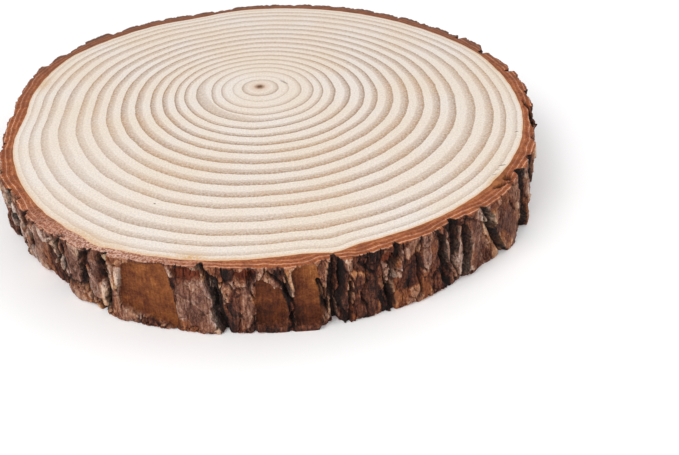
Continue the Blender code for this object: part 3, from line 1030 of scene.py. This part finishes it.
# %% Scales of the front
# Angle, z, half width and half height in mm, lean to the right in degrees, lift in mm, tone
# from black to cream, warmth from grey to orange
SCALES = (
    (-158.2, 13, 2.4, 11, -5, 0.3, 0.34, 0.55),
    (-154.6, 21, 1.7, 5.5, -20, 0.5, 0.70, 0.20),
    (-153.6, 8, 2.0, 6.0, -15, 0.6, 0.95, 0.12),
    (-149.6, 13, 1.8, 7.0, -12, 0.3, 0.50, 0.45),
    (-143.2, 17, 1.5, 8.0, 35, 0.5, 0.84, 0.18),
    (-144.6, 12, 1.0, 3.5, 30, 0.2, 0.58, 0.95),
    (-140.4, 9.5, 3.0, 7.0, 20, 0.3, 0.66, 0.40),
    (-137.3, 12, 1.5, 8.0, 12, 0.2, 0.66, 1.00),
    (-137.8, 22, 2.2, 4.0, 10, 0.3, 0.50, 0.30),
    (-132.9, 14, 1.1, 7.0, 0, 0.4, 0.72, 0.45),
    (-130.9, 17, 0.9, 7.0, 0, -0.3, 0.16, 0.10),
    (-128.6, 17.5, 3.2, 8.0, 0, 0.3, 0.46, 0.22),
    (-124.5, 14.5, 2.0, 8.0, 5, 0.6, 0.66, 0.12),
    (-128.6, 3.2, 6.2, 2.6, 0, 0.6, 0.74, 0.50),
    (-127.0, 3, 2.2, 1.0, 40, 0.1, 0.62, 1.00),
    (-120.9, 11, 0.9, 5.0, 0, 0.1, 0.46, 0.30),
    (-118.4, 2.6, 3.0, 2.2, -35, 0.6, 0.62, 0.35),
    (-109.4, 25, 1.0, 3.0, -30, 0.5, 0.92, 0.40),
    (-105.2, 12.5, 6.4, 9.6, 6, 0.3, 0.68, 0.16),
    (-107.6, 3, 2.0, 2.4, 0, 0.2, 0.56, 0.95),
    (-103.4, 3, 2.6, 2.6, 10, 0.4, 0.66, 0.30),
    (-99.0, 25, 2.0, 2.2, 0, -0.2, 0.24, 0.40),
    (-98.2, 11, 2.4, 9.0, 8, 0.3, 0.48, 0.35),
    (-95.8, 14, 1.9, 8.5, 4, 0.5, 0.74, 0.20),
    (-94.4, 23.8, 1.0, 2.0, 0, 0.3, 0.95, 0.00),
    (-91.0, 22.5, 1.6, 3.4, 20, 0.1, 0.50, 0.30),
    (-90.2, 23.6, 1.6, 2.6, 0, -0.2, 0.28, 0.50),
    (-91.4, 1.5, 5.5, 2.6, 0, 0.1, 0.34, 0.60),
    (-85.2, 1.2, 5.0, 2.6, 0, 0.1, 0.30, 0.60),
    (-82.3, 14, 1.0, 11, 0, 0.5, 0.74, 0.25),
    (-79.1, 12, 1.5, 10, 0, 0.2, 0.42, 0.50),
    (-79.0, 24, 1.8, 3.0, 0, 0.3, 0.40, 0.30),
    (-74.8, 10.5, 4.4, 9.0, 0, 0.2, 0.42, 0.40),
    (-75.0, 22.5, 1.0, 5.0, -50, 0.3, 0.66, 0.30),
    (-70.4, 24.4, 1.6, 2.8, 0, 0.5, 0.84, 0.22),
    (-64.9, 24.2, 2.8, 2.4, -15, 0.4, 0.86, 0.35),
    (-68.7, 20.9, 1.3, 1.8, 0, 0.2, 0.64, 1.00),
    (-65.5, 15, 4.6, 7.0, 0, 0.1, 0.34, 0.62),
    (-68.2, 12.5, 2.2, 3.0, 0, 0.1, 0.54, 0.95),
    (-62.6, 7.5, 2.4, 5.0, 0, 0.1, 0.55, 0.90),
    (-60.6, 16, 1.4, 9.0, 0, 0.4, 0.70, 0.60),
    (-57.0, 16, 1.1, 8.5, -8, 0.5, 0.88, 0.12),
    (-54.1, 15, 1.1, 8.5, 0, 0.5, 0.86, 0.15),
    (-51.0, 13, 1.8, 9.0, 0, 0.3, 0.66, 0.40),
    (-49.4, 14, 2.6, 10, -8, 0.4, 0.50, 0.30),
    (-50.2, 6, 1.8, 4.0, -8, 0.3, 0.58, 0.60),
    (-43.6, 19, 2.6, 6.0, -14, 0.0, 0.40, 0.45),
    (-40.6, 15, 2.8, 8.0, -14, 0.2, 0.46, 0.50),
    (-38.0, 9, 2.6, 7.0, -10, 0.2, 0.50, 0.60),
    (-34.6, 18, 1.6, 8.0, -5, 0.3, 0.56, 0.40),
    (-27.2, 15, 1.0, 11, -5, 0.5, 0.80, 0.15),
)


def scale_share(angle, z, scale, ragged):
    """1 on a scale and 0 outside: one less the fourth root of the fourth powers across and
    along the leaning oval, times its half width, plus ragged noise, eased over its border."""
    centre, centre_z, half_width, half_height, lean = scale
    place = mm_round(angle, centre)
    rise = z - centre_z
    turned = math.radians(lean)
    across = place * math.cos(turned) - rise * math.sin(turned)
    along = place * math.sin(turned) + rise * math.cos(turned)
    size = ((across / half_width) ** 4 + (along / half_height) ** 4) ** 0.25
    return smooth_step(((1 - size) * half_width + ragged) / 0.45 + 0.5)


print("scales listed:", len(SCALES))

# %% [markdown]
# ## Layers of flakes
# Conifer bark sheds in thin flakes that lie over one another in layers. Each layer here is a
# set of ragged cells of which some have fallen, so steps of half a millimetre run everywhere.
# The outer flakes are greyer and the ones below redder. Thin loose plates could be scattered
# over the bark, but they would float where it bends.

# %% Layers of flakes
FLAKE_BEND = 0.30      # share of its size by which noise bends a flake
WEAR = 0.4             # how much more or less is left where the bark is worn or sheltered
# The layers of flakes, from the old broad one out: mean width and height in mm, share of the
# flakes that is left, thickness in mm, seed
FLAKE_LAYERS = (
    (9.0, 18.0, 0.62, 0.55, 3),
    (5.0, 11.0, 0.55, 0.50, 7),
    (2.6, 8.0, 0.40, 0.24, 13),
)


def flakes(angle, z):
    """Height in mm of the stacked flakes, their tone and warmth, and how far it is in the gap
    between two of them: each layer's cells are bent by noise, and a cell is there when its
    random number is below the share that is left. Thin flakes count for less."""
    around = np.radians(angle) * WOOD_RADIUS
    height = np.zeros(angle.shape)
    tone = np.full(angle.shape, 0.26) + 0.16 * trunk_noise(angle, z, 6, 12, 23)
    warmth = np.full(angle.shape, 0.60)
    gap = np.zeros(angle.shape)
    for wide, tall, left, thickness, seed in FLAKE_LAYERS:
        weight = min(thickness / 0.5, 1)
        bend_x = FLAKE_BEND * wide * trunk_noise(angle, z, 0.8 * wide, 0.8 * tall, seed + 20)
        bend_z = FLAKE_BEND * tall * trunk_noise(angle, z, 0.7 * wide, 0.6 * tall, seed + 30)
        number, lean_x, lean_z, border = scale_cells(around + bend_x, z + bend_z, wide, tall,
                                                     seed)
        worn = WEAR * trunk_noise(angle, z, 12, 26, seed + 40, 2)
        there = smooth_step((left + worn - number) / 0.03 + 0.5)
        flat = smooth_step((border - 0.03) / 0.05)
        mask = there * flat
        second = (number * 37.17) % 1
        height = height + thickness * mask * (1.1 - 0.9 * lean_z + 0.5 * (second - 0.5))
        height = height + 0.25 * thickness * lean_x * mask
        tone = tone + weight * mask * (0.24 + 0.46 * second - 0.4 * tone)
        third = (number * 91.7) % 1
        warmth = warmth + weight * mask * (0.75 * third - 0.08 - 0.6 * warmth)
        gap = np.maximum(gap, (1 - flat) * smooth_step((0.62 - second) / 0.1))
    return height - 0.75, tone, warmth, gap


print("layers of flakes:", len(FLAKE_LAYERS))

# %% [markdown]
# ## The thickness of the bark at any point
# All of it comes together here as one height over the outline: plates, furrows and valleys
# first, then flakes, fibres and grain, then the listed scales, patches, nicks and slits, each
# laid over what is below it by its share. One function makes both the shape and the values
# for the material, so a crack is painted black as shade where it is deep.

# %% The thickness of the bark
BARK_THICKNESS = 6.3
THINNEST_BARK = 1.2
THICKEST_BARK = 10.2
SOFT_LIMIT = 8.9       # mm of bark from which it is pressed in towards the thickest
FOOT_FLARE = 0.8
# Where the foot stands out further or stays back: angle, half width in degrees, mm
FOOT_SWELLS = ((-88, 34, 1.9), (-139, 15, -4.8), (-38, 14, 1.4))
SCALE_HOLD = 0.85      # how fully a listed scale takes on its own tone
GRAIN = 0.16           # heights in mm of the grain and the fibres
FIBRES = 0.14
CHIP_SIZE = (2.2, 4.2)     # the chips that make borders ragged, in mm


def bark_relief(angle, z):
    """Bark thickness in mm and the values that its material reads: the solid's plates,
    furrows, patches and nicks, with flakes, scales, slits, fibres and grain on them."""
    up = z / THICKNESS
    around = np.radians(angle) * WOOD_RADIUS
    chips = scale_cells(around + trunk_noise(angle, z, 3, 5, 15), z, *CHIP_SIZE, 17)[0]
    fine_ragged = trunk_noise(angle, z, 2.0, 4.0, 81)
    ragged = 0.6 * trunk_noise(angle, z, 3.5, 7, 5) + 0.7 * (chips - 0.5) + 0.4 * fine_ragged
    plate, number = plates(angle + 0.5 * trunk_noise(angle, z, 5, 9, 19, 3), up)
    furrow, recess_shade = furrow_depth(angle, up, ragged)
    height, tone, warmth, gap = flakes(angle, z)
    at_rim = smooth_step((z - THICKNESS + 3) / 3)
    height = height * (1 - 0.7 * np.maximum(1 - smooth_step(z / 4), 0.6 * at_rim))
    fibres = trunk_noise(angle, z, 1.3, 11, 61, 3)
    grain = trunk_noise(angle, z, 1.3, 1.8, 71, 3)
    flare = FOOT_FLARE + add_bells(0, angle, FOOT_SWELLS)
    relief = BARK_THICKNESS + plate + ridges(angle, up) + flare * (1 - up) - furrow
    valley_wall_shade = np.zeros(angle.shape)
    for sizes in VALLEYS:
        dip, wall_shade = valley(angle + ragged, z, sizes)
        relief = relief + dip
        # painted shade on the valley's far wall
        valley_wall_shade = np.maximum(valley_wall_shade, wall_shade)
    smooth = relief
    relief = relief + height + FIBRES * fibres + GRAIN * grain - 0.5 * gap
    tone = tone + 0.22 * (cell_random(number, 0 * number, 5, 9) - 0.5)
    for *scale, lift, scale_tone, scale_warmth in SCALES:
        share = scale_share(angle, z, scale, 0.8 * (chips - 0.5) + 0.8 * fine_ragged)
        relief = relief + (smooth + lift + 0.45 * height + 0.12 * grain - relief) * share
        tone = tone + SCALE_HOLD * (scale_tone + 0.25 * (tone - 0.45) - tone) * share
        warmth = warmth + SCALE_HOLD * (scale_warmth - warmth) * share
        gap = gap * (1 - 0.7 * share)
    bare = np.zeros(angle.shape)
    bare_tone = np.full(angle.shape, 0.5)
    for *corners, left, foot_tone, top_tone in BARE_PATCHES:
        patch_ragged = 0.45 * (chips - 0.5) + 0.5 * fine_ragged
        share, across, rise = patch_share(angle, z, corners, patch_ragged)
        inner = left + 0.10 * fibres + 0.07 * grain + 0.10 * (smooth - BARK_THICKNESS)
        relief = relief + (inner - relief) * share
        mixed = foot_tone + (top_tone - foot_tone) * (0.5 * across + 0.5 * rise)
        bare_tone = np.where(share > 0.02, mixed, bare_tone)
        bare = np.maximum(bare, share)
    # painted shade: cracks, valley walls and the gaps between flakes, none on bare patches
    recess_shade = np.maximum(np.maximum(recess_shade, valley_wall_shade), 0.7 * gap) * (1 - bare)
    nick = np.zeros(angle.shape)
    for *box, depth in NICKS:
        share = nick_share(angle, z, box, 0.8 * (chips - 0.5) + fine_ragged)
        relief = relief - depth * share
        nick = np.maximum(nick, share)
    for half_width, depth, *points in SLITS:
        share = slit_share(angle, z, half_width, points,
                           0.7 * (chips - 0.5) + 0.5 * fine_ragged)
        relief = relief + (np.minimum(relief, smooth + 0.3 - depth) - relief) * share
        # each slit is painted fully black as shade
        recess_shade = np.maximum(recess_shade, share)
    values = {"recess_shade": recess_shade, "bare": bare, "bare_tone": bare_tone, "nick": nick,
              "tone": tone, "warmth": warmth}
    room = THICKEST_BARK - SOFT_LIMIT
    pressed = SOFT_LIMIT + room * np.tanh((relief - SOFT_LIMIT) / room)
    relief = np.where(relief > SOFT_LIMIT, pressed, relief)
    return np.maximum(relief, THINNEST_BARK), values


sample, _ = bark_relief(np.linspace(-180, 180, 60)[None, :], np.full((1, 60), 12.0))
print("bark half way up:", sample.min().round(2), "to", sample.max().round(2), "mm thick")

# %% [markdown]
# ## The bark
# The bark is a ring whose rows run out over the sawn top, down the side, back under the
# underside and up the hidden inner wall. The columns stand closer at the front, where the
# bark is seen. The saw broke small chips off both rims. Flakes overhang on the real bark. A
# height over a grid can't do that, so every point also moves sideways and down a little in
# proportion to how far it stands out.

# %% The bark
BARK_COLUMNS = 1400
CROWDING = 17.0       # degrees by which the columns are drawn towards the front
TOP_ROWS, SIDE_ROWS, UNDER_ROWS = 12, 54, 5
TUCK = 0.5            # mm that the ring reaches in under the edge of the wood
SUNK = 0.12           # mm by which the sawn bark lies under the wood's face
RIM_BEVEL = 0.45
CHIP_LEVEL = 0.12     # what the noise has to pass for the saw to chip the rim there
RIM_EDGE = 0.3        # mm from the sawn face to the top row of the side
STAND_WINDOW = (6, 4)    # columns and rows each way that a point is compared with
FOOT_CHIPS = 1.1      # chips of the foot against those of the rim
LEAN_AROUND = 0.15    # mm sideways for each mm that a point stands out
LEAN_DOWN = 0.20
BROKEN_FOOT = (-141, 10, 1.2)    # where the foot of the bark broke off: angle, half width, mm


def blurred(field, reach_columns, reach_rows):
    """Mean over a window of columns, which wraps round the trunk, and of rows."""
    total = sum(np.roll(field, shift, axis=1)
                for shift in range(-reach_columns, reach_columns + 1))
    total = total / (2 * reach_columns + 1)
    padded = np.pad(total, ((reach_rows, reach_rows), (0, 0)), mode="edge")
    count = 2 * reach_rows + 1
    return sum(padded[start:start + len(field)] for start in range(count)) / count


even = np.linspace(-180, 180, BARK_COLUMNS, endpoint=False)
bark_angles = even - CROWDING * np.sin(np.radians(even - FRONT))
column_zeros = np.zeros(BARK_COLUMNS)
chip = np.clip(trunk_noise(bark_angles, column_zeros, 3, 3, 91, 3) - CHIP_LEVEL, 0, 1)
foot_chip = trunk_noise(bark_angles, column_zeros, 3, 3, 95, 3) - CHIP_LEVEL
foot_chip = np.clip(foot_chip, 0, 1) * FOOT_CHIPS
foot_chip = add_bells(foot_chip, bark_angles, [BROKEN_FOOT])
side_share = np.linspace(1, 0, SIDE_ROWS)[:, None]
side_low = RIM_EDGE + foot_chip
side_high = THICKNESS - SUNK - RIM_EDGE - chip
side_z = side_low + (side_high - side_low) * side_share
side_angle = np.broadcast_to(bark_angles, side_z.shape)
side_relief, side_values = bark_relief(side_angle, side_z)
stand = side_relief - blurred(side_relief, *STAND_WINDOW)
# steepness of a wall: the bark's rise over three columns each way, per mm
run = np.radians(np.roll(bark_angles, -3) - np.roll(bark_angles, 3)) % (2 * np.pi)
rise = np.roll(side_relief, -3, axis=1) - np.roll(side_relief, 3, axis=1)
steep = np.abs(rise) / (run * WOOD_RADIUS)
print("bark stands out by", stand.min().round(2), "to", stand.max().round(2), "mm")

# %% [markdown]
# ## The sawn rings of the bark
# The saw cut through the bark's layers, so the top of the ring shows them as thin lines that
# follow the trunk. Their relief is rough and lies just under the wood's face, and towards the
# rim it falls into the chips. In three places the layers parted and left gaps, which are
# painted black as shade.

# %% The sawn rings of the bark
# Holes in the sawn ring: angle, mm out from the wood's edge, half length round the trunk and
# half width in mm, turn in degrees, depth in mm
RING_HOLES = (
    (-131.6, 4.6, 1.8, 0.8, -20, 1.4),
    (-36.2, 3.1, 2.0, 1.5, 0, 3.0),
    (-39.7, 3.2, 3.0, 0.7, 17, 2.0),
    (-37.4, 5.2, 1.4, 0.4, 17, 1.0),
    (-4.4, 2.75, 4.0, 0.7, -11, 1.5),
    (-10.4, 4.1, 7.0, 1.2, -2, 2.2),
)


def sawn_ring(rows, height, drop, relief):
    """Radial distance in mm from the wood's edge, height and painted hole shade of one sawn
    ring's
    rows: even steps from the tuck to the rim, rough, falling into the rim's chips and the
    holes."""
    share = np.linspace(0, 1, rows)[:, None]
    out = -TUCK + (relief - RIM_BEVEL + TUCK) * share
    angle = np.broadcast_to(bark_angles, out.shape)
    rough = 0.14 * (0.5 + 0.5 * trunk_noise(angle, out * 3, 2.2, 3, 101, 3)) * (share > 0)
    fall = drop * smooth_step((share - 0.55) / 0.45)
    hole_shade = np.zeros(out.shape)
    for centre, at, half_length, half_width, turned, depth in RING_HOLES:
        place = mm_round(angle, centre)
        swing = math.radians(turned)
        along = place * math.cos(swing) + (out - at) * math.sin(swing)
        across = (out - at) * math.cos(swing) - place * math.sin(swing)
        size = np.hypot(along / half_length, across / half_width)
        here = smooth_step((1.25 - size) / 0.5) * (height > 0)
        rough = rough + depth * here
        # painted shade in the hole
        hole_shade = np.maximum(hole_shade, here)
    sign = 1 if height > 0 else -1
    return out, height - sign * (SUNK * (height > 0) + rough + fall), hole_shade


top_out, top_z, ring_hole_shade = sawn_ring(TOP_ROWS, THICKNESS, chip, side_relief[0])
under_out, under_z, _ = sawn_ring(UNDER_ROWS, 0.0, foot_chip, side_relief[-1])
ring_out = np.concatenate([top_out, side_relief, under_out[::-1]])
ring_z = np.concatenate([top_z, side_z, under_z[::-1]])
window = np.zeros(len(ring_out))
side_rows = slice(TOP_ROWS, TOP_ROWS + SIDE_ROWS)
window[side_rows] = smooth_step(np.minimum(side_share, 1 - side_share)[:, 0] / 0.12)
proud = ring_out - BARK_THICKNESS
lean = LEAN_AROUND * proud * window[:, None]
ring_angle = bark_angles + np.degrees(lean / WOOD_RADIUS)
ring_z = ring_z - LEAN_DOWN * proud * window[:, None]
ring_radius = outline(bark_angles) + ring_out
ring_x = ring_radius * np.cos(np.radians(ring_angle))
ring_y = ring_radius * np.sin(np.radians(ring_angle))
low, high = (np.array(corner) / MM for corner in cad_box)
bark_points = np.stack([ring_x, ring_y, ring_z], axis=-1).reshape(-1, 3).clip(low, high)
print("bark ring:", ring_out.shape, "rows and columns")

# %% [markdown]
# ## The values that the bark's material reads
# Colour follows shape on bark: cracks, gaps, slits and steep walls are painted nearly black
# and hollows darker, as shade, edges that stand out are worn pale, each flake has its own tone,
# and some stretches round the trunk are lighter or darker. All of this is known while the shape
# is worked out, so it is stored on the vertices for the material.

# %% Values for the bark's material
# Lighter and darker stretches of the bark: angle, half width in degrees, how much lighter. The
# narrow dark ones lie along furrows and are painted shade.
TONE_AND_SHADE_STRETCHES = (
    (-150, 22, 0.14),
    (-128, 8, 0.04),
    (-120.8, 1.4, -0.24),
    (-99.5, 1.5, -0.15),
    (-88.7, 1.0, -0.18),
    (-82.5, 1.0, -0.14),
    (-72, 14, -0.15),
    (-57, 5, -0.06),
    (-40, 14, 0.13),
)
DULL = (85, 50)    # degrees from the front where it turns dull, over how many
RIM_WINDOW = 18    # columns each way over which the rim's line is evened out
BAY = (-38.5, 3.6, 2.4)    # where inner bark reaches into the wood: angle, half width, mm


def over_rings(top, side, under):
    """One value for every row of the ring: given for the sawn top, the side and the under."""
    parts = [np.broadcast_to(np.asarray(part, float), (rows, BARK_COLUMNS)) for part, rows in
             ((top, TOP_ROWS), (side, SIDE_ROWS), (under, UNDER_ROWS))]
    return np.concatenate(parts)


# broad stretches lighten or darken the tone, the narrow dark ones are painted furrow shade
stretch_tone_and_shade = add_bells(0, bark_angles, TONE_AND_SHADE_STRETCHES)
torn = bell(angle_between(bark_angles, TORN[0]), TORN[1])
dull = smooth_step((np.abs(angle_between(bark_angles, FRONT)) - DULL[0]) / DULL[1])
bay = add_bells(0, bark_angles, [BAY])
# steep walls painted near black: mostly shade, partly the darker bark inside
wall_shade = smooth_step((steep - 0.65) / 0.9) * (1 - 0.6 * side_values["bare"])
even_rim = blurred(side_relief[:1], RIM_WINDOW, 0)
even_foot = blurred(side_relief[-1:], RIM_WINDOW, 0)
bark_values = {
    "cut": over_rings(1, 0, 1),
    "recess_shade": over_rings(ring_hole_shade, np.maximum(side_values["recess_shade"], 0.9 * wall_shade), 0),
    # painted shade, darker where the bark lies below its surroundings
    "hollow": over_rings(0, np.clip(-stand / 1.2, 0, 1) * (1 - 0.8 * side_values["bare"]), 0),
    "worn": over_rings(0, np.clip(stand / 1.0, 0, 1), 0),
    "bare": over_rings(0, side_values["bare"], 0),
    "bare_tone": over_rings(0.5, side_values["bare_tone"], 0.5),
    "nick": over_rings(0, side_values["nick"], 0),
    "tone": over_rings(0.5, side_values["tone"] + stretch_tone_and_shade, 0.5),
    "warmth": over_rings(0.5, side_values["warmth"] - 1.1 * stretch_tone_and_shade, 0.5),
    "from_rim": over_rings(even_rim - top_out, 0, even_foot - under_out[::-1]),
    "from_wood": ring_out - bay - edge_shift(bark_angles),
    "torn": over_rings(torn, 0, 0),
    "dull": over_rings(dull, 0, 0),
}
print("bark values:", sorted(bark_values))

# %% [markdown]
# ## The material of the bark
# Dry bark is dead cork: no shine, grey and tan flakes over red-brown layers, black in the
# cracks. The stored values say where each of these is, and noise of four sizes breaks them
# up. The streaks read the coordinates pressed flat, because the fibres of bark stand upright.

# %% Dry conifer bark
dry_bark, tree, shader = new_material("dry_conifer_bark")
place = add(tree, "TexCoord", out="Object")
upright = add(tree, "Mapping", {"Vector": place, "Scale": (1, 1, 0.12)})
value = {name: add(tree, "Attribute", out="Fac", attribute_name=name) for name in bark_values}
# Each noise: coordinates, size of its features in mm, detail, roughness
BARK_NOISES = {
    "streaks": (upright, 0.9, 5, 0.78),
    "blotches": (place, 5, 5, 0.65),
    "specks": (place, 0.8, 3, 0.75),
    "wave": (place, 12, 4, 0.6),
}
for name, (vector, size, detail, roughness) in BARK_NOISES.items():
    value[name] = add(tree, "TexNoise", {"Vector": vector, "Scale": per_mm(size),
                                         "Detail": detail, "Roughness": roughness})
print("the bark reads:", sorted(value))

# %% [markdown]
# ## Thin seams
# Where two thin flakes meet there is a dark line, and the upper one's lip is worn pale. The
# borders of cells about 3 mm wide and 9 mm tall give the line, bent by noise so that none is
# straight. The same cells, read a little to the side and higher, give the lip.

# %% Thin seams
SEAM_CELL = 3.4      # mm across a cell
SEAM_BEND = 4.0      # mm by which the noise bends its borders

warp = add(tree, "TexNoise", {"Vector": place, "Scale": per_mm(3), "Detail": 3}, out=1)
shift = add(tree, "VectorMath", (warp, (0.5, 0.5, 0.5)), operation="SUBTRACT")
shift = add(tree, "VectorMath", {0: shift, "Scale": SEAM_BEND * MM}, operation="SCALE")
moved = add(tree, "VectorMath", (place, shift), operation="ADD")
tall = add(tree, "Mapping", {"Vector": moved, "Scale": (1, 1, 0.38)})
above = add(tree, "Mapping", {"Vector": tall, "Location": (0.1 * MM, 0, 0.25 * MM)})
for name, vector in (("dark_seam", tall), ("pale_lip", above)):
    border = add(tree, "TexVoronoi", {"Vector": vector, "Scale": per_mm(SEAM_CELL)},
                 out="Distance", feature="DISTANCE_TO_EDGE")
    value[name] = add(tree, "MapRange", (border, 0.02, 0.08, 1.0, 0.0))
print("a seam cell is", SEAM_CELL, "mm wide")

# %% [markdown]
# ## Flakes, from grey to rust
# The tone of each flake, its wear, the streaks and the seams add up to one place on two
# ramps, a grey one of weathered flakes and a rusty one of the layers below, and the warmth
# blends them. Two ramps keep the dark ends brown, where a plain tint would turn them muddy.

# %% Flakes, from grey to rust
SHADE_START = -1.20    # the sum starts here, so that its mean falls in the middle of the ramps
# What adds to the place on the ramps, and by how much
SHADE_PARTS = {
    "tone": 0.84, "worn": 0.13, "streaks": 1.30, "blotches": 0.30, "specks": 0.60,
    "pale_lip": 0.06, "dark_seam": -0.13,
}

shade = SHADE_START
for name, part in SHADE_PARTS.items():
    shade = add(tree, "Math", (value[name], part, shade), operation="MULTIPLY_ADD")
grey = add(tree, "ValToRGB", (shade,), stops=(
    (0.0, "#120A07"), (1.0, "#D6C6BA"), (0.20, "#38211A"), (0.40, "#5E3C30"),
    (0.60, "#866254"), (0.80, "#AD9184")))
rusty = add(tree, "ValToRGB", (shade,), stops=(
    (0.0, "#160906"), (1.0, "#D9A97C"), (0.20, "#3C1A10"), (0.40, "#6A351E"),
    (0.60, "#8F5430"), (0.80, "#B37A4C")))
warm = add(tree, "Math", (value["blotches"], 1.3, value["warmth"]), operation="MULTIPLY_ADD")
warm = add(tree, "Math", (warm, 0.62), operation="SUBTRACT", use_clamp=True)
colour = add(tree, "Mix", {0: warm, 6: grey, 7: rusty}, out=2, data_type="RGBA")
print("parts of the shade:", len(SHADE_PARTS))

# %% [markdown]
# ## Inner bark
# Under a fallen scale the bark is smooth and red-brown, from rust at the foot to honey at the
# top, and in the nicks it is fresh and darker. Both have a ramp of their own, laid over the
# flakes by the shares stored with the shape, so the colour ends where the step is.

# %% Inner bark
# What adds to the place on the inner bark's ramp, and by how much
INNER_PARTS = {"streaks": 0.75, "blotches": 0.95, "specks": 0.70}
INNER_MEAN = 1.26    # taken off again, so that the stored tone decides

inner_shade = value["bare_tone"]
for name, part in INNER_PARTS.items():
    inner_shade = add(tree, "Math", (value[name], part, inner_shade),
                      operation="MULTIPLY_ADD")
inner_shade = add(tree, "Math", (inner_shade, INNER_MEAN), operation="SUBTRACT")
inner = add(tree, "ValToRGB", (inner_shade,), stops=(
    (0.0, "#301307"), (1.0, "#C08850"), (0.30, "#5E2D13"), (0.62, "#8C5127")))
fresh = add(tree, "ValToRGB", (value["streaks"],),
            stops=((0.38, "#3E150C"), (0.62, "#8C4428")))
for share, over in ((value["bare"], inner), (value["nick"], fresh)):
    colour = add(tree, "Mix", {0: share, 6: colour, 7: over}, out=2, data_type="RGBA")
print("parts of the inner shade:", len(INNER_PARTS))

# %% [markdown]
# ## Sawn cork
# Where the saw went through, the cork is orange-brown with pale lines between its layers.
# They lie 2 mm apart, follow the rim and wander, so they are counted from the rim with a
# noise added, and not drawn as circles. The cork is stained in blotches, and on the far side
# it is dull right through and dark at the rim.

# %% Sawn cork
LINE_WANDER = 3.4    # mm

wandering = add(tree, "Math", (value["wave"], LINE_WANDER, value["from_rim"]),
                operation="MULTIPLY_ADD")
line = add(tree, "Math", (wandering, 1.0), operation="PINGPONG")
near_rim = add(tree, "MapRange", (value["from_rim"], 1.5, 5.0, 0.75, 0.15))
pale_line = add(tree, "MapRange", (line, 0.08, 0.26, 1.0, 0.0))
pale_line = add(tree, "Math", (pale_line, near_rim), operation="MULTIPLY")
dark_line = add(tree, "MapRange", (line, 0.75, 0.95, 0.0, 0.55))
at_wood = add(tree, "MapRange", (value["from_wood"], 0.2, 1.0, 0.8, 0.0))
stain = add(tree, "MapRange", (value["blotches"], 0.44, 0.60, 0.0, 0.55))
dull_share = add(tree, "MapRange", (value["from_rim"], 0.6, 2.8, 1.0, 0.55))
dull_share = add(tree, "Math", (dull_share, value["dull"]), operation="MULTIPLY")
cork = add(tree, "ValToRGB", (value["specks"],), stops=((0.35, "#8E4727"), (0.65, "#BC7143")))
for share, code in ((dark_line, "#5C2A1C"), (pale_line, "#E8B79A"), (at_wood, "#AC6C3E"),
                    (stain, "#6E3722"), (dull_share, "#6B4A3A")):
    cork = add(tree, "Mix", {0: share, 6: cork, 7: linear(code)}, out=2, data_type="RGBA")
print("pale lines wander by up to", LINE_WANDER, "mm")

# %% [markdown]
# ## Torn edge, cracks and grain
# The saw tore one stretch at the front left, which is dull pink-brown with pale fuzz. Last of
# all the hollows go dark and the cracks nearly black, as no light comes back out of them. The
# fine grain is a bump, because it is finer than the grid, and the smooth patches and the sawn
# ring leave out its seams.

# %% Torn edge, cracks and grain
torn_share = add(tree, "Math", (value["torn"], 0.5), operation="MULTIPLY")
fuzz = add(tree, "MapRange", (value["specks"], 0.47, 0.56, 0.0, 0.9))
fuzz = add(tree, "Math", (fuzz, value["torn"]), operation="MULTIPLY")
thinned = add(tree, "MapRange", (value["specks"], 0.42, 0.62, 1.0, 0.86))
recess_shade = add(tree, "Math", (value["recess_shade"], thinned), operation="MULTIPLY")
# painted shade: hollows darkened, and cracks, gaps, slits and steep walls near black
painted_shade = add(tree, "Math", (value["hollow"], 0.40), operation="MULTIPLY")
painted_shade = add(tree, "Math", (painted_shade, recess_shade), operation="MAXIMUM")
for share, over in ((value["cut"], cork), (torn_share, linear("#9C6E5B")),
                    (fuzz, linear("#DDB8A6")), (painted_shade, linear("#0E0706"))):
    colour = add(tree, "Mix", {0: share, 6: colour, 7: over}, out=2, data_type="RGBA")
rough = add(tree, "Math", (value["streaks"], 0.6, value["specks"]), operation="MULTIPLY_ADD")
seamed = add(tree, "Math", (value["dark_seam"], -0.7, rough), operation="MULTIPLY_ADD")
smoother = add(tree, "Math", (value["bare"], value["cut"]), operation="MAXIMUM")
height = add(tree, "Mix", {0: smoother, 2: seamed, 3: rough})
bump = add(tree, "Bump", {"Height": height, "Strength": 0.8, "Distance": 0.5 * MM})
finish_shader(tree, shader, colour, bump, 0.85, 0.25)
print(dry_bark.name, "has", len(tree.nodes), "nodes")

# %% [markdown]
# ## The bark's mesh
# The rows of the ring close on themselves, so the bark is a closed shell like a bracelet. Its
# faces are shaded smooth for the worn flakes, but an edge sharper than 42 degrees stays an
# edge, as a broken flake has one.

# %% The bark's mesh
SHARP_ANGLE = math.radians(42)

bark_faces = ring_faces(len(ring_out), BARK_COLUMNS, 0, closed=True)
bark = make_piece("bark", bark_points, bark_faces, bark_values, dry_bark)
bark.data.set_sharp_from_angle(angle=SHARP_ANGLE)
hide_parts("wood_slice")
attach(bark, "root")
